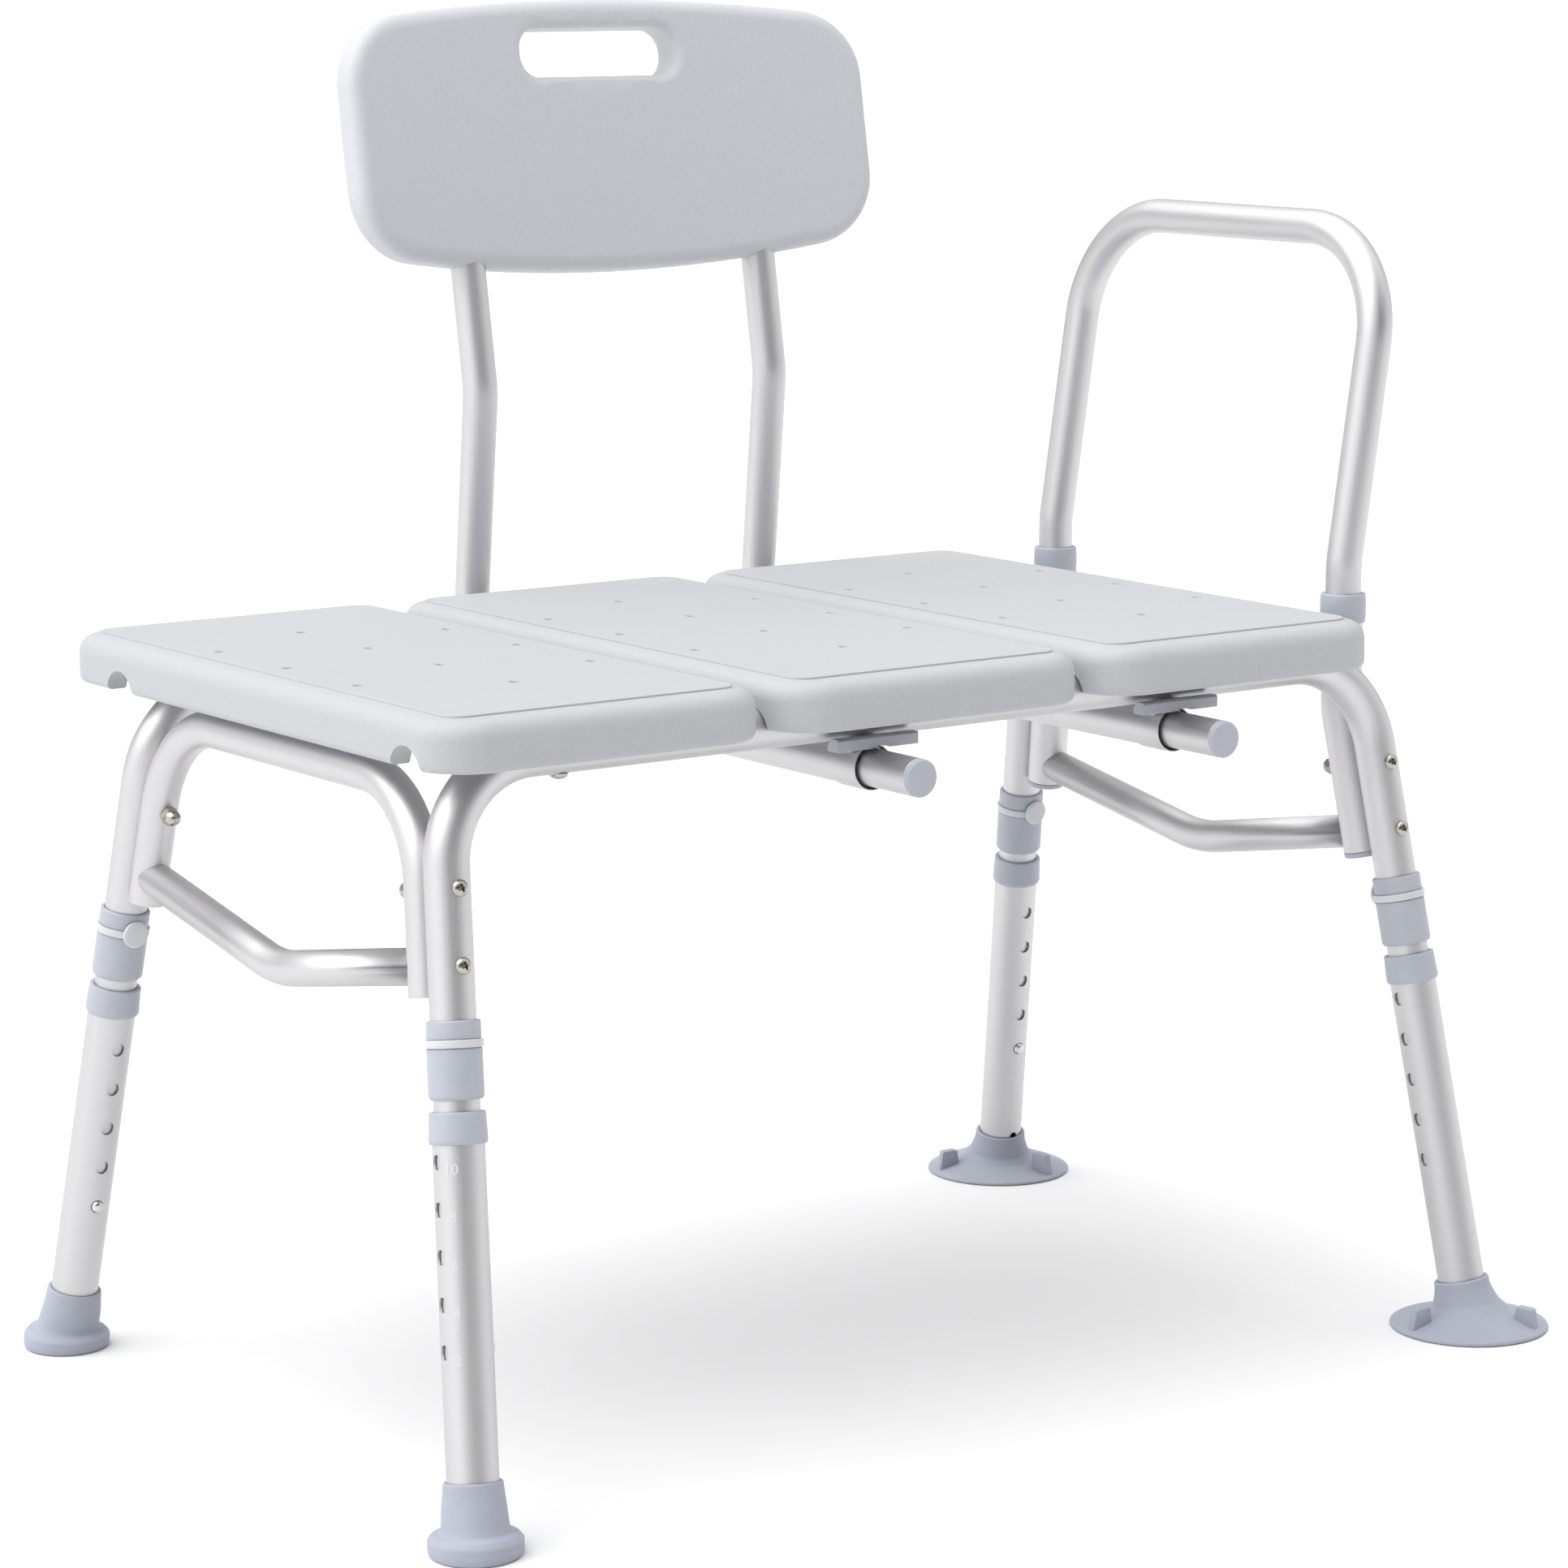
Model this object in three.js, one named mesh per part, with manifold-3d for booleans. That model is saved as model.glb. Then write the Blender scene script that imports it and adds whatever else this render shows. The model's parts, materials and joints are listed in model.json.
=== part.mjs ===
// A bath transfer bench: a seat of three moulded panels on a splayed aluminium frame, with a pull-out
// backrest, a lift-out armrest and four telescopic legs. Millimetres, +Z up, the seat's front towards -Y.
import * as THREE from "three";
import { TessellateModifier } from "three/addons/modifiers/TessellateModifier.js";
import { mergeVertices } from "three/addons/utils/BufferGeometryUtils.js";
import Module from "manifold-3d";

const wasm = await Module();
wasm.setup();

// ---- Driving dimensions -----------------------------------------------------------------------------

const GAP = 0.3; // clearance between pieces that touch

// Tube sizes: outer radius and bore radius.
const FRAME_TUBE = { outer: 12.7, bore: 11.4 }; // 1 in frame, post and leg tube
const LEG_TUBE = { outer: 14.3, bore: 13.1 }; // 1 1/8 in leg extension, which slides over the frame tube
const SMALL_TUBE = { outer: 11.1, bore: 9.8 }; // 7/8 in end frame, armrest and backrest tube
const BRACE_TUBE = { outer: 10.5, bore: 9.2 };
const TUBE_SIDES = 12;
const FOOT_SIDES = 16;

// Legs: each axis starts at a foot point on the floor and leans inwards as it rises.
const FOOT_X = 363;
const FOOT_Y = 237.7;
const LEAN_X = 0.0775; // inwards per millimetre of height
const LEAN_Y = 0.1826;

// Heights.
const SEAT_TOP = 444.5;
const SKIRT_BOTTOM = 414.5;
const RAIL_Z = 414.7; // centre of the front and rear rails
const END_BAR_Z = 404.5; // centre of the left end bar
const STUB_BOTTOM_Z = 292; // lower ends of the end tube's stubs
const POST_BOTTOM_Z = 296;
const POST_TOP_Z = 449.5;
const SLEEVE_Z = 385.9; // centre of the backrest sleeves

// Bend radii of the tube centre lines.
const RAIL_BEND = 60;
const END_BEND = 66;
const ARMREST_BEND = 69.5;
const BACKREST_BEND = 50;
const BRACE_BEND = 100;
const SOFT_BEND = 60; // shallow kinks

// Measured along the leg from the floor.
const POST_KINK = 392;
const LEG_TUBE_BOTTOM = 10;
const LEG_TUBE_TOP = 234.5;
const RING_BOTTOM = 219.2;
const RING_TOP = 236.6;
const COLLAR_BOTTOM = 243;
const COLLAR_TOP = 285.5;
const CLIP_CENTRE = 273;
const CLIP_HEAD_CENTRE = 274;
const HOLE_PITCH = 25.4;
const HOLE_COUNT = 5;
const HOLE_RADIUS = 4.4;
const BUTTON_RADIUS = 3.6;
const FRONT_LOWEST_HOLE = 108.5;
const REAR_LOWEST_HOLE = 97.8;
const FRAME_TUBE_BELOW_BUTTON = 26;
const BOLT_HEIGHTS = { upper: 356, lower: 314.4 };

// Seat.
const PANEL_PITCH = 226.47;
const PANEL_WIDTH = 215.5;
const PANEL_DEPTH = 440;
const SEAT_CENTRE_X = -20.5;
const SEAT_CENTRE_Y = 16;
const PANEL_CORNER = 32;
const PANEL_EDGE = 12; // radius of the rolled top edge
const PANEL_WALL = 4.5;
const DRAIN_RADIUS = 3;
const DRAIN_COLUMN = 77;
const DRAIN_ROW = 78.8;

// Posts and armrest at the right end.
const ARMREST_BOTTOM_Z = 390;
const ARMREST_KINK_Z = 470;
const ARMREST_TOP_Z = 673;
const ARMREST_LEAN = 0.157; // outwards per millimetre of height, above the kink

// Backrest.
const BACKREST_X = 61;
const BACKREST_TUBE_SPACING = 224;
const BACKREST_TUBE_FRONT = -216;
const BACKREST_CORNER_Y = 263.4;
const BACKREST_KINK = { y: 244.8, z: 568.7 };
const BACKREST_LEAN = 0.17; // backwards per millimetre of height, above the kink
const BACKREST_TUBE_TOP_Z = 715;
const BACK_PANEL = {
  width: 405,
  bottom: 640,
  top: 812.5,
  thickness: 28,
  bow: 17,
  corner: 46,
  edge: 9,
  wall: 4.5,
  curve: 18, // how far its ends stand forward of its middle
};
const HAND_SLOT = { width: 118, height: 31, x: -1.5, centre: 778.5, corner: 14 };

// Sleeves and release levers.
const SLEEVE_FRONT = -173;
const SLEEVE_REAR = 176;
const SLEEVE_THICK_END = 25;
const LEVER_PIVOT_Y = -112; // the rivet that holds the leaf's rear end
const LEVER_PIN_Y = -166;
const LEVER_PIN_RADIUS = 2.5;

// ---- Small tools ------------------------------------------------------------------------------------

const vec = (x, y, z) => new THREE.Vector3(x, y, z);

function solidOf(geometry) {
  const bare = geometry.index ? geometry.toNonIndexed() : geometry.clone();
  bare.deleteAttribute("normal");
  bare.deleteAttribute("uv");
  const merged = mergeVertices(bare, 1e-4);
  const mesh = new wasm.Mesh({
    numProp: 3,
    vertProperties: merged.attributes.position.array,
    triVerts: new Uint32Array(merged.index.array),
  });
  return new wasm.Manifold(mesh);
}

function geometryOf(solid) {
  const { vertProperties, triVerts } = solid.getMesh();
  return new THREE.BufferGeometry()
    .setAttribute("position", new THREE.BufferAttribute(vertProperties, 3))
    .setIndex(new THREE.BufferAttribute(triVerts, 1));
}

// The first geometry with the others cut out of it.
function cut(geometry, ...tools) {
  return geometryOf(tools.reduce((rest, tool) => rest.subtract(solidOf(tool)), solidOf(geometry)));
}

function join(...geometries) {
  return geometryOf(geometries.map(solidOf).reduce((whole, piece) => whole.add(piece)));
}

function circle(radius, sides) {
  const turn = (2 * Math.PI) / sides;
  return Array.from({ length: sides }, (_, i) => {
    return new THREE.Vector2(radius * Math.cos(turn * i), radius * Math.sin(turn * i));
  });
}

// The radius of a bore whose flats clear a piece of the given radius.
const boreFor = (radius) => (radius + GAP) / Math.cos(Math.PI / TUBE_SIDES);

function box(width, depth, height, centre) {
  return new THREE.BoxGeometry(width, depth, height).translate(centre.x, centre.y, centre.z);
}

// A solid rod between two points.
function rod(radius, from, to, sides = 10) {
  const along = to.clone().sub(from);
  const turn = new THREE.Quaternion().setFromUnitVectors(vec(0, 1, 0), along.clone().normalize());
  const middle = from.clone().addScaledVector(along, 0.5);
  return new THREE.CylinderGeometry(radius, radius, along.length(), sides)
    .applyQuaternion(turn)
    .translate(middle.x, middle.y, middle.z);
}

// A turned piece about +Z. The profile lists [radius, height], going up its outer wall.
function turned(profile, sides) {
  const points = profile.map(([radius, height]) => new THREE.Vector2(radius, height));
  return new THREE.LatheGeometry(points, sides).rotateX(Math.PI / 2);
}

// A closed ring section turned about +Z.
function turnedRing(profile, sides) {
  return turned([...profile, profile[0]], sides);
}

// A tube's centre line: straight runs through the corners, with a round bend at each inner corner.
class BentLine extends THREE.Curve {
  constructor(corners, bendRadii, bendSteps) {
    super();
    this.stations = [];
    corners.forEach((corner, i) => this.addCorner(corners, i, bendRadii[i - 1], bendSteps));
  }

  addCorner(corners, i, radius, bendSteps) {
    const corner = corners[i];
    const before = i > 0 ? corner.clone().sub(corners[i - 1]).normalize() : null;
    const after = i < corners.length - 1 ? corners[i + 1].clone().sub(corner).normalize() : null;
    if (!before || !after) {
      this.stations.push({ point: corner, tangent: before || after });
      return;
    }
    const angle = before.angleTo(after);
    const reach = radius * Math.tan(angle / 2);
    const start = corner.clone().addScaledVector(before, -reach);
    const inward = after.clone().addScaledVector(before, -after.dot(before)).normalize();
    const steps = Math.max(2, Math.round((bendSteps * angle) / (Math.PI / 2)));
    for (let k = 0; k <= steps; k++) {
      const turn = (angle * k) / steps;
      const point = start
        .clone()
        .addScaledVector(before, radius * Math.sin(turn))
        .addScaledVector(inward, radius * (1 - Math.cos(turn)));
      const tangent = before.clone().multiplyScalar(Math.cos(turn)).addScaledVector(inward, Math.sin(turn));
      this.stations.push({ point, tangent });
    }
  }

  station(u) {
    return this.stations[Math.round(u * (this.stations.length - 1))];
  }

  getPointAt(u) {
    return this.station(u).point.clone();
  }

  getTangentAt(u) {
    return this.station(u).tangent.clone();
  }
}

// A bent tube with open ends, or a bent rod where bore is 0.
function bentTube({ outer, bore }, corners, bendRadii, bendSteps = 3) {
  const line = new BentLine(corners, bendRadii, bendSteps);
  const section = new THREE.Shape(circle(outer, TUBE_SIDES));
  if (bore) section.holes.push(new THREE.Path(circle(bore, TUBE_SIDES)));
  return new THREE.ExtrudeGeometry(section, { steps: line.stations.length - 1, extrudePath: line });
}

function straightTube(tube, from, to) {
  return bentTube(tube, [from, to], []);
}

// A rectangle about the origin with round corners.
function roundedRectangle(width, depth, radius, cornerSteps) {
  const shape = new THREE.Shape();
  const corners = [
    [1, 1, 0],
    [-1, 1, 1],
    [-1, -1, 2],
    [1, -1, 3],
  ];
  const points = corners.flatMap(([sx, sy, quarter]) =>
    Array.from({ length: cornerSteps + 1 }, (_, k) => {
      const angle = (Math.PI / 2) * (quarter + k / cornerSteps);
      return new THREE.Vector2(
        sx * (width / 2 - radius) + radius * Math.cos(angle),
        sy * (depth / 2 - radius) + radius * Math.sin(angle),
      );
    }),
  );
  return shape.setFromPoints(points);
}

// ---- Materials --------------------------------------------------------------------------------------

function material(colour, roughness, metalness) {
  return new THREE.MeshStandardMaterial({ color: colour, roughness, metalness });
}

const satinAluminium = () => material(0xd6d6d9, 0.35, 0.9);
const seatPlastic = () => material(0xd9dade, 0.6, 0);
const backPlastic = () => material(0xc2c4c9, 0.6, 0);
const greyPlastic = () => material(0xb6bcc6, 0.5, 0);
const greyRubber = () => material(0xa9b0bc, 0.8, 0);
const darkPlastic = () => material(0x8c8f98, 0.5, 0);
const clearPlastic = () => material(0xcdcdc8, 0.4, 0);
const nickel = () => material(0xb9b2a6, 0.25, 1);
const springSteel = () => material(0xc0c0c2, 0.3, 1);

const bench = new THREE.Group();

function addPiece(parent, name, geometry, finish) {
  const mesh = new THREE.Mesh(geometry, finish);
  mesh.name = name;
  parent.add(mesh);
}

// ---- The four leg lines -----------------------------------------------------------------------------

const CORNERS = [
  { name: "front_left", sx: -1, sy: -1 },
  { name: "front_right", sx: 1, sy: -1 },
  { name: "rear_left", sx: -1, sy: 1 },
  { name: "rear_right", sx: 1, sy: 1 },
];

for (const corner of CORNERS) {
  const { sx, sy } = corner;
  const isFront = sy < 0;
  corner.foot = vec(sx * FOOT_X, sy * FOOT_Y, 0);
  corner.up = vec(-sx * LEAN_X, -sy * LEAN_Y, 1).normalize();
  corner.back = vec(0, 1, 0).addScaledVector(corner.up, -corner.up.y).normalize();
  corner.side = corner.back.clone().cross(corner.up);
  corner.lowestHole = isFront ? FRONT_LOWEST_HOLE : REAR_LOWEST_HOLE;
  // The snap button looks to the right on the front legs and to the front on the rear legs.
  corner.buttonTurn = isFront ? 0 : -Math.PI / 2;
  corner.matrix = new THREE.Matrix4().makeBasis(corner.side, corner.back, corner.up).setPosition(corner.foot);
}

const at = (corner, height) => corner.foot.clone().addScaledVector(corner.up, height);

// The height along a leg at which it stands z above the floor.
const alongLeg = (corner, z) => z / corner.up.z;

// A point beside a leg line, on its inner side towards the other leg of the same end.
const beside = (corner, height, distance) => {
  return at(corner, height).addScaledVector(corner.back, -corner.sy * distance);
};

const cornerOf = (name) => CORNERS.find((corner) => corner.name === name);

const END_OFFSET = FRAME_TUBE.outer + SMALL_TUBE.outer + GAP;
const POST_OFFSET = 2 * FRAME_TUBE.outer + GAP;

// Bolts run square to the leg, through the leg and the tube beside it.
const BOLT_RADIUS = 2.9;
const BOLT_HOLE_RADIUS = 3.6;

function boltDrill(corner, height) {
  return rod(BOLT_HOLE_RADIUS, beside(corner, height, -20), beside(corner, height, 45), 6);
}

const boltDrills = (corner) => Object.values(BOLT_HEIGHTS).map((height) => boltDrill(corner, height));

// ---- Frame ------------------------------------------------------------------------------------------

function frameTube(left, right) {
  const bottom = (corner) => at(corner, corner.lowestHole - FRAME_TUBE_BELOW_BUTTON);
  const top = (corner) => at(corner, alongLeg(corner, RAIL_Z));
  const tube = bentTube(
    FRAME_TUBE,
    [bottom(left), top(left), top(right), bottom(right)],
    [RAIL_BEND, RAIL_BEND],
  );
  const buttonHole = (corner) =>
    rod(HOLE_RADIUS, vec(5, 0, 0), vec(20, 0, 0), 6)
      .rotateZ(corner.buttonTurn)
      .translate(0, 0, corner.lowestHole)
      .applyMatrix4(corner.matrix);
  return cut(tube, ...[left, right].flatMap((corner) => [...boltDrills(corner), buttonHole(corner)]));
}

function leftEndTube() {
  const front = cornerOf("front_left");
  const rear = cornerOf("rear_left");
  const bottom = (corner) => beside(corner, alongLeg(corner, STUB_BOTTOM_Z), END_OFFSET);
  const top = (corner) => beside(corner, alongLeg(corner, END_BAR_Z), END_OFFSET);
  const line = [bottom(front), top(front), top(rear), bottom(rear)];
  const tube = bentTube(SMALL_TUBE, line, [END_BEND, END_BEND]);
  return cut(tube, ...boltDrills(front), ...boltDrills(rear));
}

// A post follows its leg up to a shallow kink and stands upright above it.
const postKink = (corner) => beside(corner, POST_KINK, POST_OFFSET);
const { x: POST_X, y: POST_Y } = postKink(cornerOf("rear_right"));

function rightPost(corner) {
  const bottom = beside(corner, alongLeg(corner, POST_BOTTOM_Z), POST_OFFSET);
  const top = vec(POST_X, corner.sy * POST_Y, POST_TOP_Z);
  const tube = bentTube(FRAME_TUBE, [bottom, postKink(corner), top], [SOFT_BEND]);
  return cut(tube, ...boltDrills(corner));
}

// A brace runs square to both uprights from their lower bolts, so it sags to a shallow bend in the middle.
function brace(front, rear, offset, uprightRadius) {
  const end = (corner) => beside(corner, BOLT_HEIGHTS.lower, offset);
  const inwards = beside(front, 0, 1).sub(front.foot);
  const middle = end(front).addScaledVector(inwards, -end(front).y / inwards.y);
  const tube = bentTube(BRACE_TUBE, [end(front), middle, end(rear)], [BRACE_BEND], 9);
  const upright = (corner) =>
    rod(boreFor(uprightRadius), beside(corner, 260, offset), beside(corner, 345, offset), TUBE_SIDES);
  return cut(tube, upright(front), upright(rear));
}

addPiece(bench, "front_frame_tube", frameTube(CORNERS[0], CORNERS[1]), satinAluminium());
addPiece(bench, "rear_frame_tube", frameTube(CORNERS[2], CORNERS[3]), satinAluminium());
addPiece(bench, "left_end_tube", leftEndTube(), satinAluminium());
addPiece(bench, "left_brace", brace(CORNERS[0], CORNERS[2], END_OFFSET, SMALL_TUBE.outer), satinAluminium());
addPiece(
  bench,
  "right_brace",
  brace(CORNERS[1], CORNERS[3], POST_OFFSET, FRAME_TUBE.outer),
  satinAluminium(),
);

// ---- Legs -------------------------------------------------------------------------------------------

// A leg extension, drilled right through at each height setting.
function legTube(corner) {
  const tube = straightTube(LEG_TUBE, vec(0, 0, LEG_TUBE_BOTTOM), vec(0, 0, LEG_TUBE_TOP));
  const holes = Array.from({ length: HOLE_COUNT }, (_, i) =>
    rod(HOLE_RADIUS, vec(-20, 0, 0), vec(20, 0, 0), 6)
      .rotateZ(corner.buttonTurn)
      .translate(0, 0, corner.lowestHole + i * HOLE_PITCH),
  );
  return cut(tube, ...holes);
}

// The plastic bush that caps the top of the leg extension.
function legRing() {
  const outer = LEG_TUBE.outer + 1.9;
  const inner = boreFor(LEG_TUBE.outer);
  const lip = boreFor(FRAME_TUBE.outer);
  const shoulder = LEG_TUBE_TOP + GAP;
  return turnedRing(
    [
      [inner, RING_BOTTOM],
      [outer, RING_BOTTOM],
      [outer, RING_TOP - 1.2],
      [outer - 1, RING_TOP],
      [lip, RING_TOP],
      [lip, shoulder],
      [inner, shoulder],
    ],
    TUBE_SIDES,
  );
}

const COLLAR_RADIUS = 15.2;
const CLIP_GROOVE_RADIUS = 14.4;
const CLIP_HEIGHT = 4.6;

// The plastic collar on the frame tube, with a groove for its clip.
function legCollar() {
  const inner = boreFor(FRAME_TUBE.outer);
  const grooveBottom = CLIP_CENTRE - CLIP_HEIGHT / 2 - GAP;
  const grooveTop = CLIP_CENTRE + CLIP_HEIGHT / 2 + GAP;
  return turnedRing(
    [
      [inner, COLLAR_BOTTOM],
      [COLLAR_RADIUS - 0.8, COLLAR_BOTTOM],
      [COLLAR_RADIUS, COLLAR_BOTTOM + 1],
      [COLLAR_RADIUS, grooveBottom],
      [CLIP_GROOVE_RADIUS, grooveBottom],
      [CLIP_GROOVE_RADIUS, grooveTop],
      [COLLAR_RADIUS, grooveTop],
      [COLLAR_RADIUS, COLLAR_TOP - 1],
      [COLLAR_RADIUS - 0.8, COLLAR_TOP],
      [inner, COLLAR_TOP],
    ],
    TUBE_SIDES,
  );
}

// The clip that locks the collar: an open band in the groove and a round head on the leg's inner side.
function collarClip(corner) {
  const HEAD_RADIUS = 8.2;
  const inner = boreFor(CLIP_GROOVE_RADIUS);
  const outer = COLLAR_RADIUS + 1;
  const band = turnedRing(
    [
      [inner, CLIP_CENTRE - CLIP_HEIGHT / 2],
      [outer, CLIP_CENTRE - CLIP_HEIGHT / 2],
      [outer, CLIP_CENTRE + CLIP_HEIGHT / 2],
      [inner, CLIP_CENTRE + CLIP_HEIGHT / 2],
    ],
    TUBE_SIDES,
  );
  const inwards = -corner.sy;
  const mouth = box(9, 14, 2 * CLIP_HEIGHT, vec(0, -inwards * outer, CLIP_CENTRE));
  const head = rod(
    HEAD_RADIUS,
    vec(0, inwards * 12, CLIP_HEAD_CENTRE),
    vec(0, inwards * (COLLAR_RADIUS + 2.2), CLIP_HEAD_CENTRE),
    TUBE_SIDES,
  );
  const collarSpace = rod(
    COLLAR_RADIUS + GAP,
    vec(0, 0, CLIP_HEAD_CENTRE - 2 * HEAD_RADIUS),
    vec(0, 0, CLIP_HEAD_CENTRE + 2 * HEAD_RADIUS),
    TUBE_SIDES,
  );
  return join(cut(band, mouth), cut(head, collarSpace));
}

// The sprung snap clip inside the frame tube: a domed button on a folded leaf.
function snapClip(corner) {
  const LEAF_WIDTH = 8;
  const fold = new THREE.Shape(
    [
      [9.9, -5],
      [9.9, 5],
      [2.2, 44.5],
      [-0.4, 47],
      [-3, 44.5],
      [-5.8, 5],
      [-4.8, 5],
      [-2, 43.8],
      [-0.4, 45.4],
      [1.2, 43.8],
      [8.8, 5],
      [8.8, -5],
    ].map(([x, z]) => new THREE.Vector2(x, z)),
  );
  const leaf = new THREE.ExtrudeGeometry(fold, { depth: LEAF_WIDTH, bevelEnabled: false })
    .rotateX(Math.PI / 2)
    .translate(0, LEAF_WIDTH / 2, 0);
  const button = turned(
    [
      [0, 9.3],
      [BUTTON_RADIUS, 9.3],
      [BUTTON_RADIUS, 14.6],
      [BUTTON_RADIUS * 0.75, 15.9],
      [0, 16.4],
    ],
    8,
  ).rotateY(Math.PI / 2);
  return join(leaf, button).rotateZ(corner.buttonTurn).translate(0, 0, corner.lowestHole);
}

// A bolt runs from a domed head outside the leg, through the leg and the tube beside it, to its fixing.
function bolt(corner, height, besideOffset, fixing) {
  const headFace = -(FRAME_TUBE.outer + GAP);
  const shank = rod(BOLT_RADIUS, vec(0, 0, headFace - 1), vec(0, 0, besideOffset + 22), 6);
  const head = turned(
    [
      [0, headFace - 3.2],
      [3.4, headFace - 2.6],
      [5.6, headFace - 0.8],
      [5.6, headFace],
      [0, headFace],
    ],
    8,
  );
  return join(shank, head, fixing)
    .rotateX((corner.sy * Math.PI) / 2)
    .translate(0, 0, height);
}

// The acorn nut on an upper bolt, just clear of the tube's inner face.
function acornNut(besideOffset, besideRadius) {
  const face = besideOffset + besideRadius + 1.3;
  return turned(
    [
      [0, face],
      [5.2, face],
      [5.2, face + 4],
      [3.6, face + 6.5],
      [0, face + 11],
    ],
    6,
  );
}

// The threaded plug inside a brace's end, which a lower bolt screws into.
function bracePlug(besideOffset, besideRadius) {
  const start = besideOffset + besideRadius + 4;
  return rod(BRACE_TUBE.bore - 0.8, vec(0, 0, start), vec(0, 0, start + 14), 8);
}

for (const corner of CORNERS) {
  const leg = new THREE.Group();
  leg.applyMatrix4(corner.matrix);
  bench.add(leg);
  addPiece(leg, `leg_tube_${corner.name}`, legTube(corner), satinAluminium());
  addPiece(leg, `leg_ring_${corner.name}`, legRing(), greyPlastic());
  addPiece(leg, `leg_collar_${corner.name}`, legCollar(), greyPlastic());
  addPiece(leg, `collar_clip_${corner.name}`, collarClip(corner), clearPlastic());
  addPiece(leg, `snap_clip_${corner.name}`, snapClip(corner), springSteel());
  const atPost = corner.sx > 0;
  const offset = atPost ? POST_OFFSET : END_OFFSET;
  const radius = atPost ? FRAME_TUBE.outer : SMALL_TUBE.outer;
  const upperBolt = bolt(corner, BOLT_HEIGHTS.upper, offset, acornNut(offset, radius));
  addPiece(leg, `bolt_upper_${corner.name}`, upperBolt, nickel());
  const lowerBolt = bolt(corner, BOLT_HEIGHTS.lower, offset, bracePlug(offset, radius));
  addPiece(leg, `bolt_lower_${corner.name}`, lowerBolt, nickel());
}

// ---- Feet -------------------------------------------------------------------------------------------

// The socket of a foot holds the leg tube at the leg's lean; the foot itself stands flat on the floor.
function foot(corner, standing, topRadius, bottomRadius, socketBottom, socketTop) {
  const socket = new THREE.CylinderGeometry(topRadius, bottomRadius, socketTop - socketBottom, FOOT_SIDES)
    .rotateX(Math.PI / 2)
    .translate(0, 0, (socketTop + socketBottom) / 2)
    .applyMatrix4(corner.matrix);
  const boreBottom = at(corner, LEG_TUBE_BOTTOM - GAP);
  const bore = rod(boreFor(LEG_TUBE.outer), boreBottom, at(corner, socketTop + 5), TUBE_SIDES);
  return cut(join(standing.translate(corner.foot.x, corner.foot.y, 0), socket), bore);
}

function rubberTip(corner) {
  const flange = turned(
    [
      [0, 0],
      [25, 0],
      [26.3, 2.5],
      [26.3, 7],
      [24.5, 9.5],
      [19, 11.5],
      [0, 11.5],
    ],
    FOOT_SIDES,
  );
  return foot(corner, flange, 16.5, 18.8, 7, 38.5);
}

// A suction cup with a hollow underside and three pull tabs near its rim.
function suctionCup(corner, tabTurn) {
  const TAB_RADIUS = 37.5;
  const cup = turned(
    [
      [0, 5],
      [24, 4],
      [40, 1.6],
      [44.5, 0],
      [48.5, 0],
      [49.5, 1.2],
      [49, 2.6],
      [36, 7.5],
      [25, 12.5],
      [19.5, 19],
      [0, 19],
    ],
    FOOT_SIDES,
  );
  const tab = (third) => {
    const plate = box(14, 5, 10.5, vec(TAB_RADIUS, 0, 8.6));
    return plate.rotateZ(tabTurn + (third * 2 * Math.PI) / 3);
  };
  return foot(corner, join(cup, tab(0), tab(1), tab(2)), 16.9, 19, 14, 29.5);
}

addPiece(bench, "rubber_tip_front_left", rubberTip(CORNERS[0]), greyRubber());
addPiece(bench, "rubber_tip_rear_left", rubberTip(CORNERS[2]), greyRubber());
addPiece(bench, "suction_cup_front_right", suctionCup(CORNERS[1], -1.15), greyRubber());
addPiece(bench, "suction_cup_rear_right", suctionCup(CORNERS[3], -1.31), greyRubber());

// ---- Seat -------------------------------------------------------------------------------------------

// A block with rolled edges round its top, cut off flat at the skirt.
function rolledBlock(width, depth, corner, edge, top) {
  const outline = roundedRectangle(width - 2 * edge, depth - 2 * edge, corner - edge, 3);
  const block = new THREE.ExtrudeGeometry(outline, {
    depth: 2 * (top - SKIRT_BOTTOM - edge),
    bevelThickness: edge,
    bevelSize: edge,
    bevelSegments: 3,
    curveSegments: 1,
  }).translate(0, 0, 2 * SKIRT_BOTTOM - top + edge);
  return cut(block, box(2 * width, 2 * depth, 100, vec(0, 0, SKIRT_BOTTOM - 50)));
}

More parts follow.
